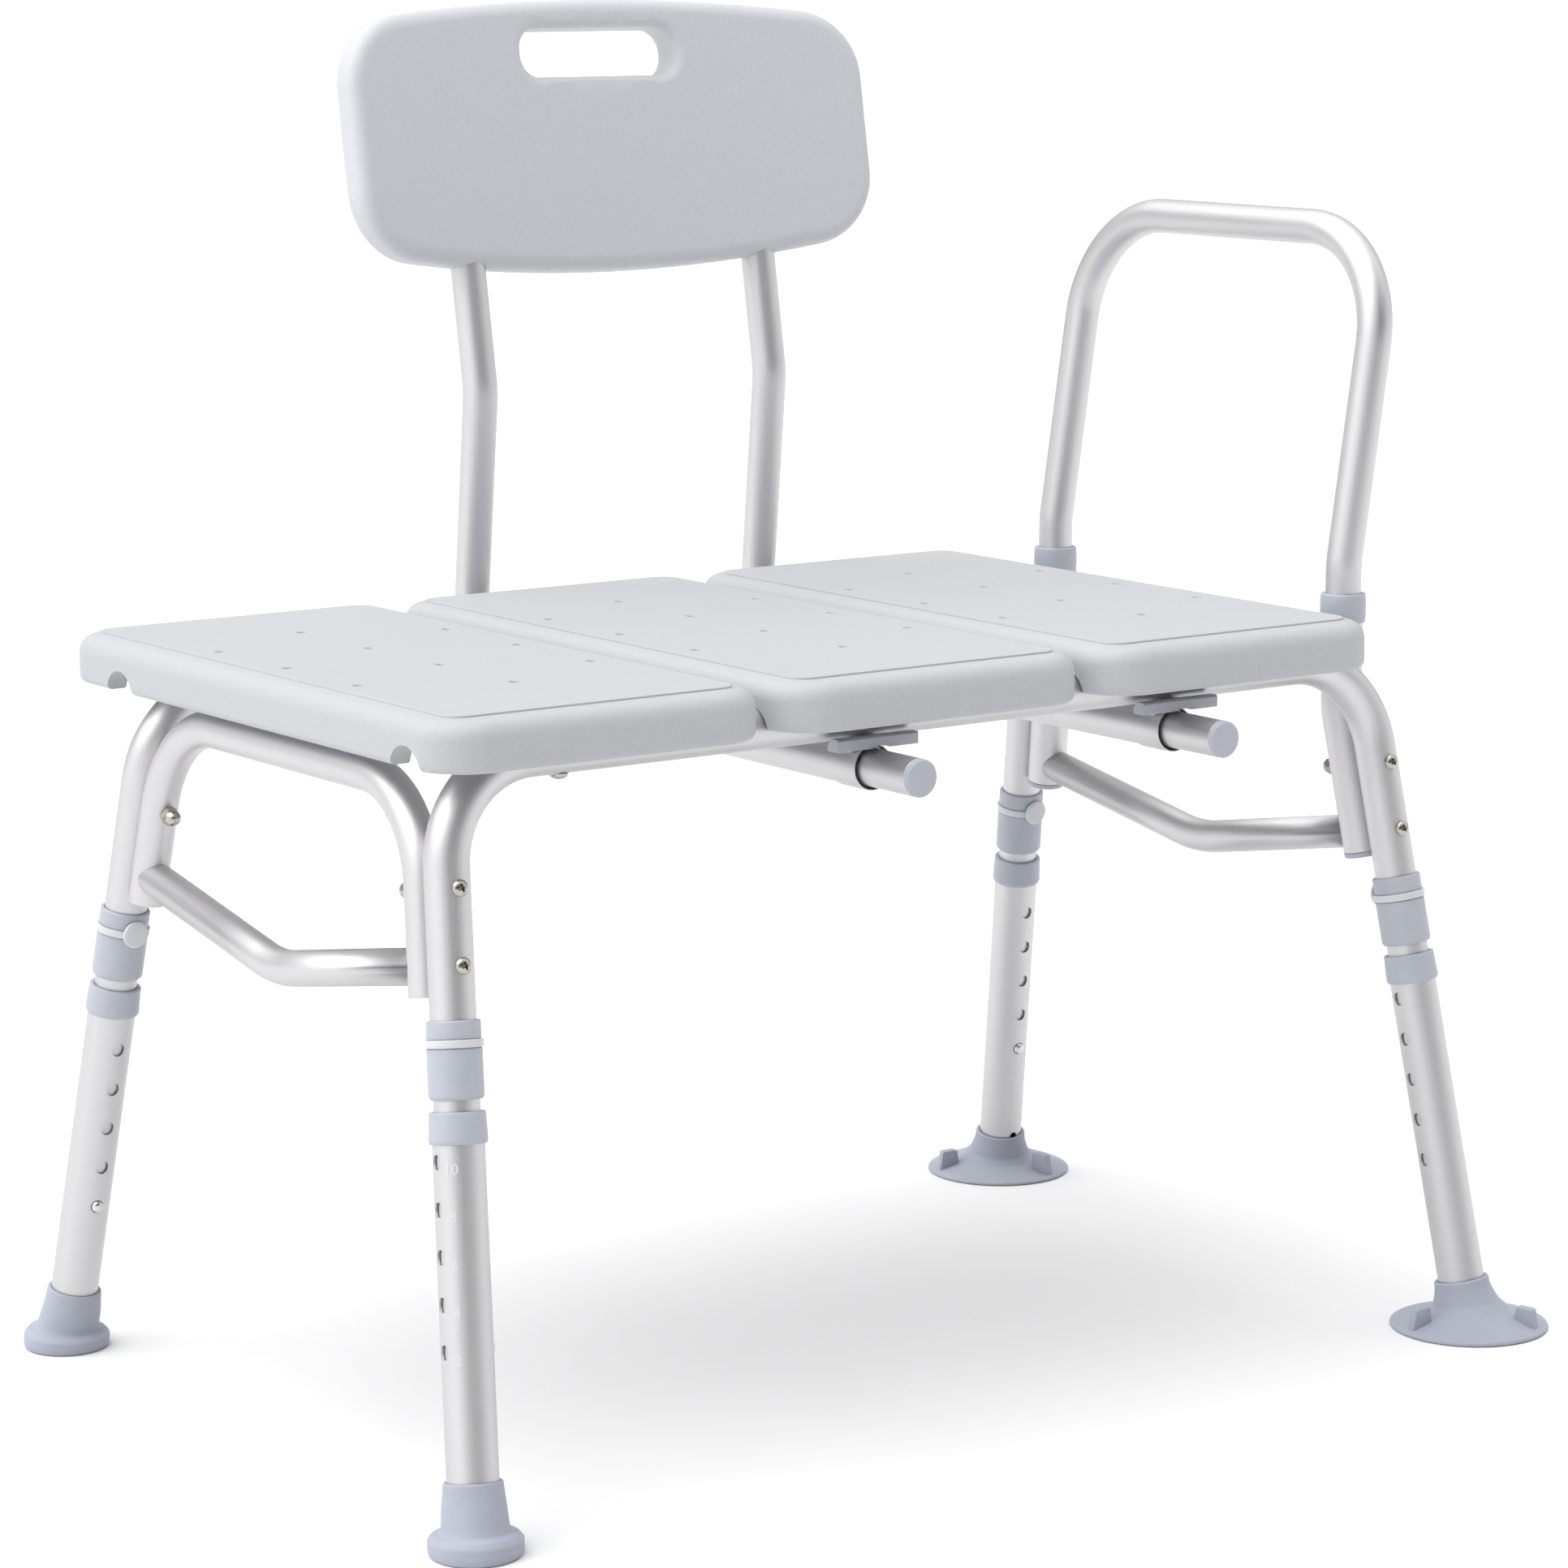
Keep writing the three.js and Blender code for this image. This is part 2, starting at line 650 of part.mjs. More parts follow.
// A seat panel: a shell open below, with drain holes and a channel through its skirt for each rail.
function seatPanel(centreX) {
  const panel = rolledBlock(PANEL_WIDTH, PANEL_DEPTH, PANEL_CORNER, PANEL_EDGE, SEAT_TOP);
  const hollow = rolledBlock(
    PANEL_WIDTH - 2 * PANEL_WALL,
    PANEL_DEPTH - 2 * PANEL_WALL,
    PANEL_CORNER - PANEL_WALL,
    PANEL_EDGE - PANEL_WALL,
    SEAT_TOP - PANEL_WALL,
  );
  const drain = (column, row) => {
    const x = column * DRAIN_COLUMN;
    const y = row * DRAIN_ROW;
    return rod(DRAIN_RADIUS, vec(x, y, SEAT_TOP - 20), vec(x, y, SEAT_TOP + 5), 6);
  };
  const drains = [
    ...[-1.5, -0.5, 0.5, 1.5].map((row) => drain(0, row)),
    ...[-1, 0, 1].flatMap((row) => [drain(-1, row), drain(1, row)]),
  ];
  const railY = at(cornerOf("rear_left"), alongLeg(cornerOf("rear_left"), RAIL_Z)).y;
  const channel = (side) => {
    const middle = vec(0, side * railY - SEAT_CENTRE_Y, RAIL_Z);
    const reach = vec(PANEL_WIDTH, 0, 0);
    const radius = boreFor(FRAME_TUBE.outer);
    return rod(radius, middle.clone().sub(reach), middle.clone().add(reach), TUBE_SIDES);
  };
  return cut(panel, openBelow(hollow), ...drains, channel(-1), channel(1)).translate(
    centreX,
    SEAT_CENTRE_Y,
    0,
  );
}

// The hollow carried on a little below the skirt, so that the shell is open there.
function openBelow(hollow) {
  const bounds = new THREE.Box3().setFromBufferAttribute(hollow.attributes.position);
  const size = bounds.getSize(vec(0, 0, 0));
  const below = new THREE.ExtrudeGeometry(
    roundedRectangle(size.x, size.y, PANEL_CORNER - PANEL_WALL, 3),
    { depth: 6, bevelEnabled: false },
  ).translate(0, 0, SKIRT_BOTTOM - 5);
  return join(hollow, below);
}

["left", "middle", "right"].forEach((name, i) => {
  addPiece(bench, `seat_panel_${name}`, seatPanel(SEAT_CENTRE_X + (i - 1) * PANEL_PITCH), seatPlastic());
});

// ---- Posts, armrest ---------------------------------------------------------------------------------

// The plug that closes the lower end of a post.
function postCap() {
  return turned(
    [
      [0, -3],
      [11.8, -3],
      [12.7, -2],
      [12.7, -GAP],
      [FRAME_TUBE.bore - 0.7, -GAP],
      [FRAME_TUBE.bore - 0.7, 8],
      [0, 8],
    ],
    TUBE_SIDES,
  );
}

// The collar on top of a post, which the armrest tube runs through.
function armrestCollar() {
  const COLLAR_HEIGHT = 18;
  const shoulder = POST_TOP_Z + GAP;
  const top = POST_TOP_Z + 2.5;
  const inner = boreFor(FRAME_TUBE.outer);
  const lip = boreFor(SMALL_TUBE.outer);
  return turnedRing(
    [
      [inner, top - COLLAR_HEIGHT],
      [14.2, top - COLLAR_HEIGHT],
      [14.2, top - 1],
      [13.4, top],
      [lip, top],
      [lip, shoulder],
      [inner, shoulder],
    ],
    TUBE_SIDES,
  );
}

function armrestTube() {
  const side = (sy) => [
    vec(POST_X, sy * POST_Y, ARMREST_BOTTOM_Z),
    vec(POST_X, sy * POST_Y, ARMREST_KINK_Z),
    vec(POST_X + ARMREST_LEAN * (ARMREST_TOP_Z - ARMREST_KINK_Z), sy * POST_Y, ARMREST_TOP_Z),
  ];
  return bentTube(
    SMALL_TUBE,
    [...side(-1), ...side(1).reverse()],
    [SOFT_BEND, ARMREST_BEND, ARMREST_BEND, SOFT_BEND],
  );
}

for (const corner of CORNERS.filter(({ sx }) => sx > 0)) {
  const place = corner.sy < 0 ? "front" : "rear";
  addPiece(bench, `right_post_${place}`, rightPost(corner), satinAluminium());
  const cap = new THREE.Group();
  const bottom = beside(corner, alongLeg(corner, POST_BOTTOM_Z), POST_OFFSET);
  cap.applyMatrix4(corner.matrix.clone().setPosition(bottom));
  bench.add(cap);
  addPiece(cap, `post_cap_${place}`, postCap(), darkPlastic());
  const collar = new THREE.Group();
  collar.position.set(POST_X, corner.sy * POST_Y, 0);
  bench.add(collar);
  addPiece(collar, `armrest_collar_${place}`, armrestCollar(), greyPlastic());
}
addPiece(bench, "armrest_tube", armrestTube(), satinAluminium());

// ---- Backrest ---------------------------------------------------------------------------------------

const leanBack = (z) => BACKREST_KINK.y + BACKREST_LEAN * (z - BACKREST_KINK.z);

// A drill for the release pin, down into the front end of a backrest tube or its sleeve.
function pinHole(x, radius) {
  return rod(radius, vec(x, LEVER_PIN_Y, SLEEVE_Z), vec(x, LEVER_PIN_Y, SLEEVE_Z + 20), 8);
}

function backrestTube(x) {
  const tube = bentTube(
    SMALL_TUBE,
    [
      vec(x, BACKREST_TUBE_FRONT, SLEEVE_Z),
      vec(x, BACKREST_CORNER_Y, SLEEVE_Z),
      vec(x, BACKREST_KINK.y, BACKREST_KINK.z),
      vec(x, leanBack(BACKREST_TUBE_TOP_Z), BACKREST_TUBE_TOP_Z),
    ],
    [BACKREST_BEND, SOFT_BEND],
  );
  return cut(tube, pinHole(x, LEVER_PIN_RADIUS + 0.5));
}

function backrestTubeCap() {
  return turned(
    [
      [0, -3],
      [10.2, -3],
      [SMALL_TUBE.outer - 0.1, -2.2],
      [SMALL_TUBE.outer - 0.1, -GAP],
      [SMALL_TUBE.bore - 0.6, -GAP],
      [SMALL_TUBE.bore - 0.6, 12],
      [0, 12],
    ],
    TUBE_SIDES,
  ).rotateX(-Math.PI / 2);
}

// The panel's outline in its own plane: bowed top and bottom edges, straight sides and round corners.
function backOutline(width, height, bow, radius) {
  const EDGE_STEPS = 6;
  const CORNER_STEPS = 3;
  const reach = width / 2 - radius;
  const edgeHeight = (x) => height / 2 - bow * (x / (width / 2)) ** 2;
  const slope = (2 * bow * reach) / (width / 2) ** 2;
  const tilt = Math.atan(slope);
  const cornerCentre = { x: reach - radius * Math.sin(tilt), y: edgeHeight(reach) - radius * Math.cos(tilt) };
  const points = [];
  for (let k = 0; k <= EDGE_STEPS; k++) {
    const x = reach * (1 - (2 * k) / EDGE_STEPS);
    points.push([x, edgeHeight(x)]);
  }
  const rightCorner = [];
  for (let k = 0; k < CORNER_STEPS; k++) {
    const angle = (k / CORNER_STEPS) * (Math.PI / 2 - tilt);
    rightCorner.push([cornerCentre.x + radius * Math.cos(angle), cornerCentre.y + radius * Math.sin(angle)]);
  }
  const leftCorner = rightCorner.map(([x, y]) => [-x, y]).reverse();
  const upper = [...rightCorner, ...points, ...leftCorner];
  const lower = upper.map(([x, y]) => [-x, -y]);
  return new THREE.Shape([...upper, ...lower].map(([x, y]) => new THREE.Vector2(x, y)));
}

// A slab with rolled edges, its faces towards -Y and +Y. It is curved forward at its ends, and its middle
// passes through the two tubes.
function backSlab(shape, thickness, edge, bevelSegments) {
  const flat = new THREE.ExtrudeGeometry(shape, {
    depth: thickness - 2 * edge,
    bevelThickness: edge,
    bevelSize: edge,
    bevelOffset: -edge,
    bevelSegments,
    curveSegments: 1,
  })
    .rotateX(Math.PI / 2)
    .translate(0, thickness / 2 - edge, 0);
  const slab = new TessellateModifier(60, 8).modify(flat);
  const place = slab.attributes.position;
  const tubeX = BACKREST_TUBE_SPACING / 2;
  for (let i = 0; i < place.count; i++) {
    const forward = (place.getX(i) ** 2 - tubeX ** 2) / (BACK_PANEL.width / 2) ** 2;
    place.setY(i, place.getY(i) - BACK_PANEL.curve * forward);
  }
  return slab;
}

function backrestPanel(tubeXs) {
  const { width, bottom, top, thickness, bow, corner, edge, wall } = BACK_PANEL;
  const tilt = -Math.atan(BACKREST_LEAN);
  const height = (top - bottom) / Math.cos(tilt);
  const centreZ = (top + bottom) / 2;
  const slotZ = (HAND_SLOT.centre - centreZ) / Math.cos(tilt);
  const slot = (margin) => {
    const outline = roundedRectangle(
      HAND_SLOT.width + 2 * margin,
      HAND_SLOT.height + 2 * margin,
      HAND_SLOT.corner + margin,
      4,
    );
    return new THREE.ExtrudeGeometry(outline, { depth: 60, bevelEnabled: false })
      .rotateX(Math.PI / 2)
      .translate(HAND_SLOT.x, 30, slotZ);
  };
  const outside = backSlab(backOutline(width, height, bow, corner), thickness, edge, 2);
  const inside = backSlab(
    backOutline(width - 2 * wall, height - 2 * wall, bow, corner - wall),
    thickness - 2 * wall,
    edge - wall,
    1,
  );
  const bores = tubeXs.map((x) => {
    const top = vec(x - BACKREST_X, 0, 0);
    const bottom = vec(x - BACKREST_X, 0, -height / 2 - 20);
    return rod(boreFor(SMALL_TUBE.outer), bottom, top, TUBE_SIDES);
  });
  return cut(outside, cut(inside, slot(wall)), slot(0), ...bores)
    .rotateX(tilt)
    .translate(BACKREST_X, leanBack(centreZ), centreZ);
}

// ---- Sleeves and release levers ---------------------------------------------------------------------

const LEAF = { width: 9, bottom: 398.95, top: 400.05 };

// The sleeve under the seat that a backrest tube slides in. A pad on it carries each rail.
function backrestSleeve(x) {
  const axis = (y) => vec(x, y, SLEEVE_Z);
  const shoulder = axis(SLEEVE_FRONT + SLEEVE_THICK_END);
  const thickEnd = rod(FRAME_TUBE.outer + 0.9, axis(SLEEVE_FRONT), shoulder, TUBE_SIDES);
  const plain = rod(FRAME_TUBE.outer, axis(SLEEVE_FRONT), axis(SLEEVE_REAR), TUBE_SIDES);
  const railY = at(CORNERS[2], alongLeg(CORNERS[2], RAIL_Z)).y;
  const padTop = RAIL_Z - FRAME_TUBE.outer + 1.5;
  const pad = (y) => box(24, 11, padTop - SLEEVE_Z, vec(x, y, (padTop + SLEEVE_Z) / 2));
  const rail = (y) => {
    const radius = boreFor(FRAME_TUBE.outer);
    return rod(radius, vec(x - 30, y, RAIL_Z), vec(x + 30, y, RAIL_Z), TUBE_SIDES);
  };
  const leafChannel = box(LEAF.width + 2, 60, 20, vec(x, -railY, LEAF.bottom - GAP + 10));
  const bore = rod(FRAME_TUBE.bore, axis(SLEEVE_FRONT - 10), axis(SLEEVE_REAR + 10), TUBE_SIDES);
  return cut(
    join(plain, thickEnd, pad(railY), pad(-railY)),
    rail(railY),
    rail(-railY),
    leafChannel,
    bore,
    pinHole(x, LEVER_PIN_RADIUS + 0.6),
  );
}

// The sprung leaf of a release lever, with the pin that locks the backrest tube.
function releaseLeaf(x) {
  const FRONT = -176;
  const REAR = LEVER_PIVOT_Y + 6;
  const middleZ = (LEAF.bottom + LEAF.top) / 2;
  const thickness = LEAF.top - LEAF.bottom;
  const leaf = box(LEAF.width, REAR - FRONT, thickness, vec(x, (FRONT + REAR) / 2, middleZ));
  const pinTip = SLEEVE_Z + SMALL_TUBE.outer + GAP;
  const pin = rod(LEVER_PIN_RADIUS, vec(x, LEVER_PIN_Y, middleZ), vec(x, LEVER_PIN_Y, pinTip), 10);
  const rivet = rod(3, vec(x, LEVER_PIVOT_Y, middleZ), vec(x, LEVER_PIVOT_Y, LEAF.top + 1.2), 10);
  return join(leaf, pin, rivet);
}

// The finger bar moulded on the leaf's front end, arched over the tube.
function releaseBar(x) {
  const WIDTH = 62;
  const profile = new THREE.Shape(
    [
      [-181, 398.2],
      [-171.5, 398.2],
      [-171.5, 402],
      [-174.5, 405.5],
      [-180, 405.5],
      [-181, 404.5],
    ].map(([y, z]) => new THREE.Vector2(y, z)),
  );
  // The section's axes (y, z) are turned so that it is extruded along X.
  const turn = new THREE.Matrix4().makeBasis(vec(0, 1, 0), vec(0, 0, 1), vec(1, 0, 0));
  const bar = new THREE.ExtrudeGeometry(profile, { depth: WIDTH, bevelEnabled: false })
    .applyMatrix4(turn)
    .translate(x - WIDTH / 2, 0, 0);
  const archRadius = boreFor(FRAME_TUBE.outer + 0.9);
  const arch = rod(archRadius, vec(x, -190, SLEEVE_Z), vec(x, -160, SLEEVE_Z), TUBE_SIDES);
  const leafSlot = box(
    LEAF.width + 2 * GAP,
    10,
    LEAF.top - LEAF.bottom + 2 * GAP,
    vec(x, -176 + 5 - GAP, (LEAF.bottom + LEAF.top) / 2),
  );
  return cut(bar, arch, leafSlot);
}

const BACKREST_TUBES = { left: -0.5, right: 0.5 };
for (const [place, side] of Object.entries(BACKREST_TUBES)) {
  const x = BACKREST_X + side * BACKREST_TUBE_SPACING;
  addPiece(bench, `backrest_tube_${place}`, backrestTube(x), satinAluminium());
  addPiece(bench, `backrest_sleeve_${place}`, backrestSleeve(x), satinAluminium());
  addPiece(bench, `release_leaf_${place}`, releaseLeaf(x), springSteel());
  addPiece(bench, `release_bar_${place}`, releaseBar(x), darkPlastic());
  const end = new THREE.Group();
  end.position.set(x, BACKREST_TUBE_FRONT, SLEEVE_Z);
  bench.add(end);
  addPiece(end, `backrest_tube_cap_${place}`, backrestTubeCap(), darkPlastic());
}
const tubeXs = Object.values(BACKREST_TUBES).map((side) => BACKREST_X + side * BACKREST_TUBE_SPACING);
addPiece(bench, "backrest_panel", backrestPanel(tubeXs), backPlastic());

// ---- The part's own frame: on the floor, under the middle of its bounding box -----------------------

bench.updateMatrixWorld(true);
const middle = new THREE.Box3().setFromObject(bench, true).getCenter(vec(0, 0, 0));
bench.position.set(-middle.x, -middle.y, 0);

export default bench;
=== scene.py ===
import json
import math

import bmesh
import bpy
from mathutils import Euler, Matrix, Vector


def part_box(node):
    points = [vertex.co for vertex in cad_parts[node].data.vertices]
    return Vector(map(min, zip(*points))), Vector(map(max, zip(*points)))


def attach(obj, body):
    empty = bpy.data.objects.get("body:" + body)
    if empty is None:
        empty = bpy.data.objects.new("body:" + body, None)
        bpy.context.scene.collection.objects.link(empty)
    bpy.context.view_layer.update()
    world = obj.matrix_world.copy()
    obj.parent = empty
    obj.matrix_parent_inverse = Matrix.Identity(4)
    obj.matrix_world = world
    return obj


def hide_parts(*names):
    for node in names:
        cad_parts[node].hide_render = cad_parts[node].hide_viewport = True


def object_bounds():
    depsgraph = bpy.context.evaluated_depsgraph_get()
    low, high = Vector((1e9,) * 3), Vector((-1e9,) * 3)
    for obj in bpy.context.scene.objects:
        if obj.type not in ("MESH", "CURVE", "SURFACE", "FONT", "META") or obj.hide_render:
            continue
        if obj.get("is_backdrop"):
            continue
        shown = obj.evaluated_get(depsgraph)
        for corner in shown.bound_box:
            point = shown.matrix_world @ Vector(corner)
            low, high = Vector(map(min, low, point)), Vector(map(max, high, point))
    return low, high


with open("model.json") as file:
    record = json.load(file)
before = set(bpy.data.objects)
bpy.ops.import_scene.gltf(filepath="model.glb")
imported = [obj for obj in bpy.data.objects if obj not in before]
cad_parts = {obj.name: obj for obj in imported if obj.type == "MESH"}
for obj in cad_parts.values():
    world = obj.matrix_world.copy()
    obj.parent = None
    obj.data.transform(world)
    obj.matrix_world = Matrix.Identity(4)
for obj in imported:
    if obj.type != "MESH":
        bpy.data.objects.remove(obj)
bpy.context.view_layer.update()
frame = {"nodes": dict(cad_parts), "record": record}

RECORD = frame["record"]
BODY_OF = {node: body for body, nodes in RECORD["behaviour"]["bodies"].items() for node in nodes}
SLOT_OF = {part["node"]: part["material_slot"] for part in RECORD["subparts"]}

# ---- Dimensions, in millimetres, in the frame whose origin is between the four feet --------------

FOOT_X, FOOT_Y = 363, 237.7
LEAN_X, LEAN_Y = 0.0775, 0.1826
RAIL_Z, END_BAR_Z, STUB_BOTTOM_Z, POST_BOTTOM_Z = 414.7, 404.5, 292, 296
POST_KINK, POST_TOP_Z = 392, 449.5
SLEEVE_Z, SLEEVE_FRONT, SLEEVE_REAR, SLEEVE_THICK_END = 385.9, -173, 176, 25
FRAME_R, LEG_R, SMALL_R, BRACE_R = 12.7, 14.3, 11.1, 10.5
FRAME_BORE, LEG_BORE, SMALL_BORE, BRACE_BORE = 11.4, 13.1, 9.8, 9.2
LEG_TUBE_BOTTOM, LEG_TUBE_TOP = 10, 234.5
LOWEST_HOLE = {"front": 108.5, "rear": 97.8}
HOLE_PITCH, HOLE_COUNT, HOLE_R = 25.4, 5, 4.1
UPPER_BOLT, LOWER_BOLT = 356, 314.4
SEAT_X, SEAT_Y, PANEL_PITCH, PANEL_DEPTH = -20.5, 16, 226.47, 440
PANEL_WIDTH = 215.5
SEAT_TOP, SKIRT_BOTTOM = 444.5, 414.5
ARMREST_BOTTOM_Z, ARMREST_KINK_Z, ARMREST_TOP_Z, ARMREST_LEAN = 390, 470, 673, 0.157
BACKREST_X, TUBE_SPACING, TUBE_FRONT = 61, 224, -216
BACK_CORNER_Y, BACK_KINK_Y, BACK_KINK_Z, BACK_LEAN, BACK_TUBE_TOP = 263.4, 244.8, 568.7, 0.17, 715
LEAF_BOTTOM, LEAF_TOP, LEVER_PIVOT_Y, LEVER_PIN_Y = 398.95, 400.05, -112, -166
TUBE_SIDES, BEND_STEPS = 48, 18

low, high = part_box("seat_panel_middle")
ORIGIN = (low + high) * 500 - Vector((SEAT_X, SEAT_Y, 0))
ORIGIN.z = 0


# ---- Meshes --------------------------------------------------------------------------------------

def new_object(name, points, faces, loop_uvs=None):
    """A mesh object from points in millimetres."""
    mesh = bpy.data.meshes.new(name)
    mesh.from_pydata([(Vector(p) + ORIGIN) * 0.001 for p in points], [], faces)
    if loop_uvs:
        layer = mesh.uv_layers.new(name="along")
        layer.data.foreach_set("uv", [c * 0.001 for uv in loop_uvs for c in uv])
    mesh.update()
    made = bpy.data.objects.new(name, mesh)
    bpy.context.scene.collection.objects.link(made)
    return made


def joined(name, *objects):
    """One object from several."""
    whole = bmesh.new()
    whole.loops.layers.uv.new("along")
    for o in objects:
        whole.from_mesh(o.data)
    mesh = bpy.data.meshes.new(name)
    whole.to_mesh(mesh)
    whole.free()
    for o in objects:
        bpy.data.objects.remove(o)
    made = bpy.data.objects.new(name, mesh)
    bpy.context.scene.collection.objects.link(made)
    return made


def smooth(o, angle=32):
    for polygon in o.data.polygons:
        polygon.use_smooth = True
    o.data.set_sharp_from_angle(angle=math.radians(angle))
    return o


def carve(o, *cutters):
    """Cuts the cutters out of o, and removes them."""
    tool = joined("cutter", *cutters)
    modifier = o.modifiers.new("carve", "BOOLEAN")
    modifier.object = tool
    modifier.operation = "DIFFERENCE"
    modifier.solver = "EXACT"
    graph = bpy.context.evaluated_depsgraph_get()
    mesh = bpy.data.meshes.new_from_object(o.evaluated_get(graph))
    o.modifiers.clear()
    o.data = mesh
    bpy.data.objects.remove(tool)
    return o


def weigh_normals(o):
    """Lets the large flat faces keep flat shading where they meet rounded edges."""
    modifier = o.modifiers.new("normals", "WEIGHTED_NORMAL")
    modifier.weight = 80
    modifier.keep_sharp = True
    return o


def finish_piece(o, node, material, more=()):
    """The object stands for the CAD node, and for any more nodes named, and rides on its body."""
    o.data.materials.clear()
    o.data.materials.append(material)
    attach(o, BODY_OF[node])
    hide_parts(node, *more)
    return o


def add_detail(o, body, material):
    """A small piece with no CAD node of its own."""
    o.data.materials.clear()
    o.data.materials.append(material)
    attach(o, body)
    return o


def ring_skin(name, rings, sides, loop=False):
    """A surface through rings of (centre, u axis, v axis, radius), where radius 0 closes it to a point."""
    points, starts, lengths, total = [], [], [], 0.0
    for i, (centre, u, v, radius) in enumerate(rings):
        if i:
            step = (centre - rings[i - 1][0]).length
            total += math.hypot(step, radius - rings[i - 1][3])
        lengths.append(total)
        starts.append(len(points))
        if radius == 0:
            points.append(centre)
            continue
        for k in range(sides):
            angle = 2 * math.pi * k / sides
            points.append(centre + (u * math.cos(angle) + v * math.sin(angle)) * radius)
    widest = max(r[3] for r in rings)
    across = 2 * math.pi * widest / sides
    faces, uvs = [], []
    count = len(rings)
    for i in range(count if loop else count - 1):
        j = (i + 1) % count
        end = lengths[j] if j else total + 1
        for k in range(sides):
            n = (k + 1) % sides
            corners = []
            if rings[i][3] == 0:
                corners = [(starts[i], k + 0.5, lengths[i]), (starts[j] + n, k + 1, end),
                           (starts[j] + k, k, end)]
            elif rings[j][3] == 0:
                corners = [(starts[i] + k, k, lengths[i]), (starts[i] + n, k + 1, lengths[i]),
                           (starts[j], k + 0.5, end)]
            else:
                corners = [
                    (starts[i] + k, k, lengths[i]),
                    (starts[i] + n, k + 1, lengths[i]),
                    (starts[j] + n, k + 1, end),
                    (starts[j] + k, k, end),
                ]
            faces.append([c[0] for c in corners])
            uvs.extend((c[1] * across, c[2]) for c in corners)
    return new_object(name, points, faces, uvs)


def fillet(points, radii, loop=True, steps=4):
    """The polygon's corners rounded, each by its own radius."""
    count = len(points)
    out = []
    for i, here in enumerate(points):
        here = Vector(here)
        if radii[i] <= 0 or (not loop and i in (0, count - 1)):
            out.append(tuple(here))
            continue
        before = Vector(points[i - 1]) - here
        after = Vector(points[(i + 1) % count]) - here
        angle = before.angle(after)
        if angle > math.pi - 0.02:
            out.append(tuple(here))
            continue
        reach = min(radii[i] / math.tan(angle / 2), 0.49 * before.length, 0.49 * after.length)
        start, end = here + before.normalized() * reach, here + after.normalized() * reach
        for k in range(steps + 1):
            t = k / steps
            out.append(tuple(start * (1 - t) ** 2 + here * 2 * t * (1 - t) + end * t ** 2))
    return out


def lathe(name, profile, place, sides=48, loop=True):
    """A piece turned about the local Z axis of place, from (radius, height) pairs going up its outer wall."""
    u, v, w = (place.to_3x3().col[i] for i in range(3))
    base = place.translation
    rings = [(base + w * height, u, v, max(radius, 0)) for radius, height in profile]
    return ring_skin(name, rings, sides, loop)


def stations(corners, radii, steps=BEND_STEPS):
    """Points and tangents along straight runs with a round bend at each inner corner."""
    out = []
    for i, corner in enumerate(corners):
        before = (corner - corners[i - 1]).normalized() if i else None
        after = (corners[i + 1] - corner).normalized() if i < len(corners) - 1 else None
        if not before or not after:
            out.append((corner, before or after))
            continue
        angle = before.angle(after)
        radius = radii[i - 1]
        start = corner - before * (radius * math.tan(angle / 2))
        inward = (after - before * after.dot(before)).normalized()
        count = max(5, round(steps * angle / (math.pi / 2)))
        for k in range(count + 1):
            turn = angle * k / count
            point = start + before * (radius * math.sin(turn)) + inward * (radius * (1 - math.cos(turn)))
            out.append((point, before * math.cos(turn) + inward * math.sin(turn)))
    return out


def tube(name, corners, radii, outer, bore, sides=TUBE_SIDES, steps=BEND_STEPS):
    """A bent tube with a wall, and with its cut ends slightly rounded off."""
    line = stations(corners, radii, steps)
    first = line[0][1]
    reference = Vector((1, 0, 0)) if abs(first.x) < 0.9 else Vector((0, 1, 0))
    u = (reference - first * reference.dot(first)).normalized()
    frames = []
    for i, (point, tangent) in enumerate(line):
        if i:
            u = (u - tangent * u.dot(tangent)).normalized()
        frames.append((point, tangent, u, tangent.cross(u)))
    ease = 0.35
    rings = []
    p, t, a, b = frames[0]
    rings += [(p, a, b, outer - ease), (p + t * ease, a, b, outer)]
    rings += [(p, a, b, outer) for p, t, a, b in frames[1:-1]]
    p, t, a, b = frames[-1]
    rings += [(p - t * ease, a, b, outer), (p, a, b, outer - ease), (p, a, b, bore + ease),
              (p - t * ease, a, b, bore)]
    rings += [(p, a, b, bore) for p, t, a, b in reversed(frames[1:-1])]
    p, t, a, b = frames[0]
    rings += [(p + t * ease, a, b, bore), (p, a, b, bore + ease)]
    return smooth(ring_skin(name, rings, sides, loop=True))


def extruded(name, outline, depth, place):
    """A prism from an outline in the local XY plane of place, depth up its Z."""
    count = len(outline)
    points = [place @ Vector((x, y, z)) for z in (0, depth) for x, y in outline]
    faces = [list(reversed(range(count))), list(range(count, 2 * count))]
    faces += [[k, (k + 1) % count, count + (k + 1) % count, count + k] for k in range(count)]
    return new_object(name, points, faces)


def cylinder(start, end, radius, sides=24):
    along = (end - start).normalized()
    reference = Vector((0, 0, 1)) if abs(along.z) < 0.9 else Vector((1, 0, 0))
    u = along.cross(reference).normalized()
    v = along.cross(u)
    rings = [(start, u, v, 0), (start, u, v, radius), (end, u, v, radius), (end, u, v, 0)]
    return ring_skin("cylinder", rings, sides)


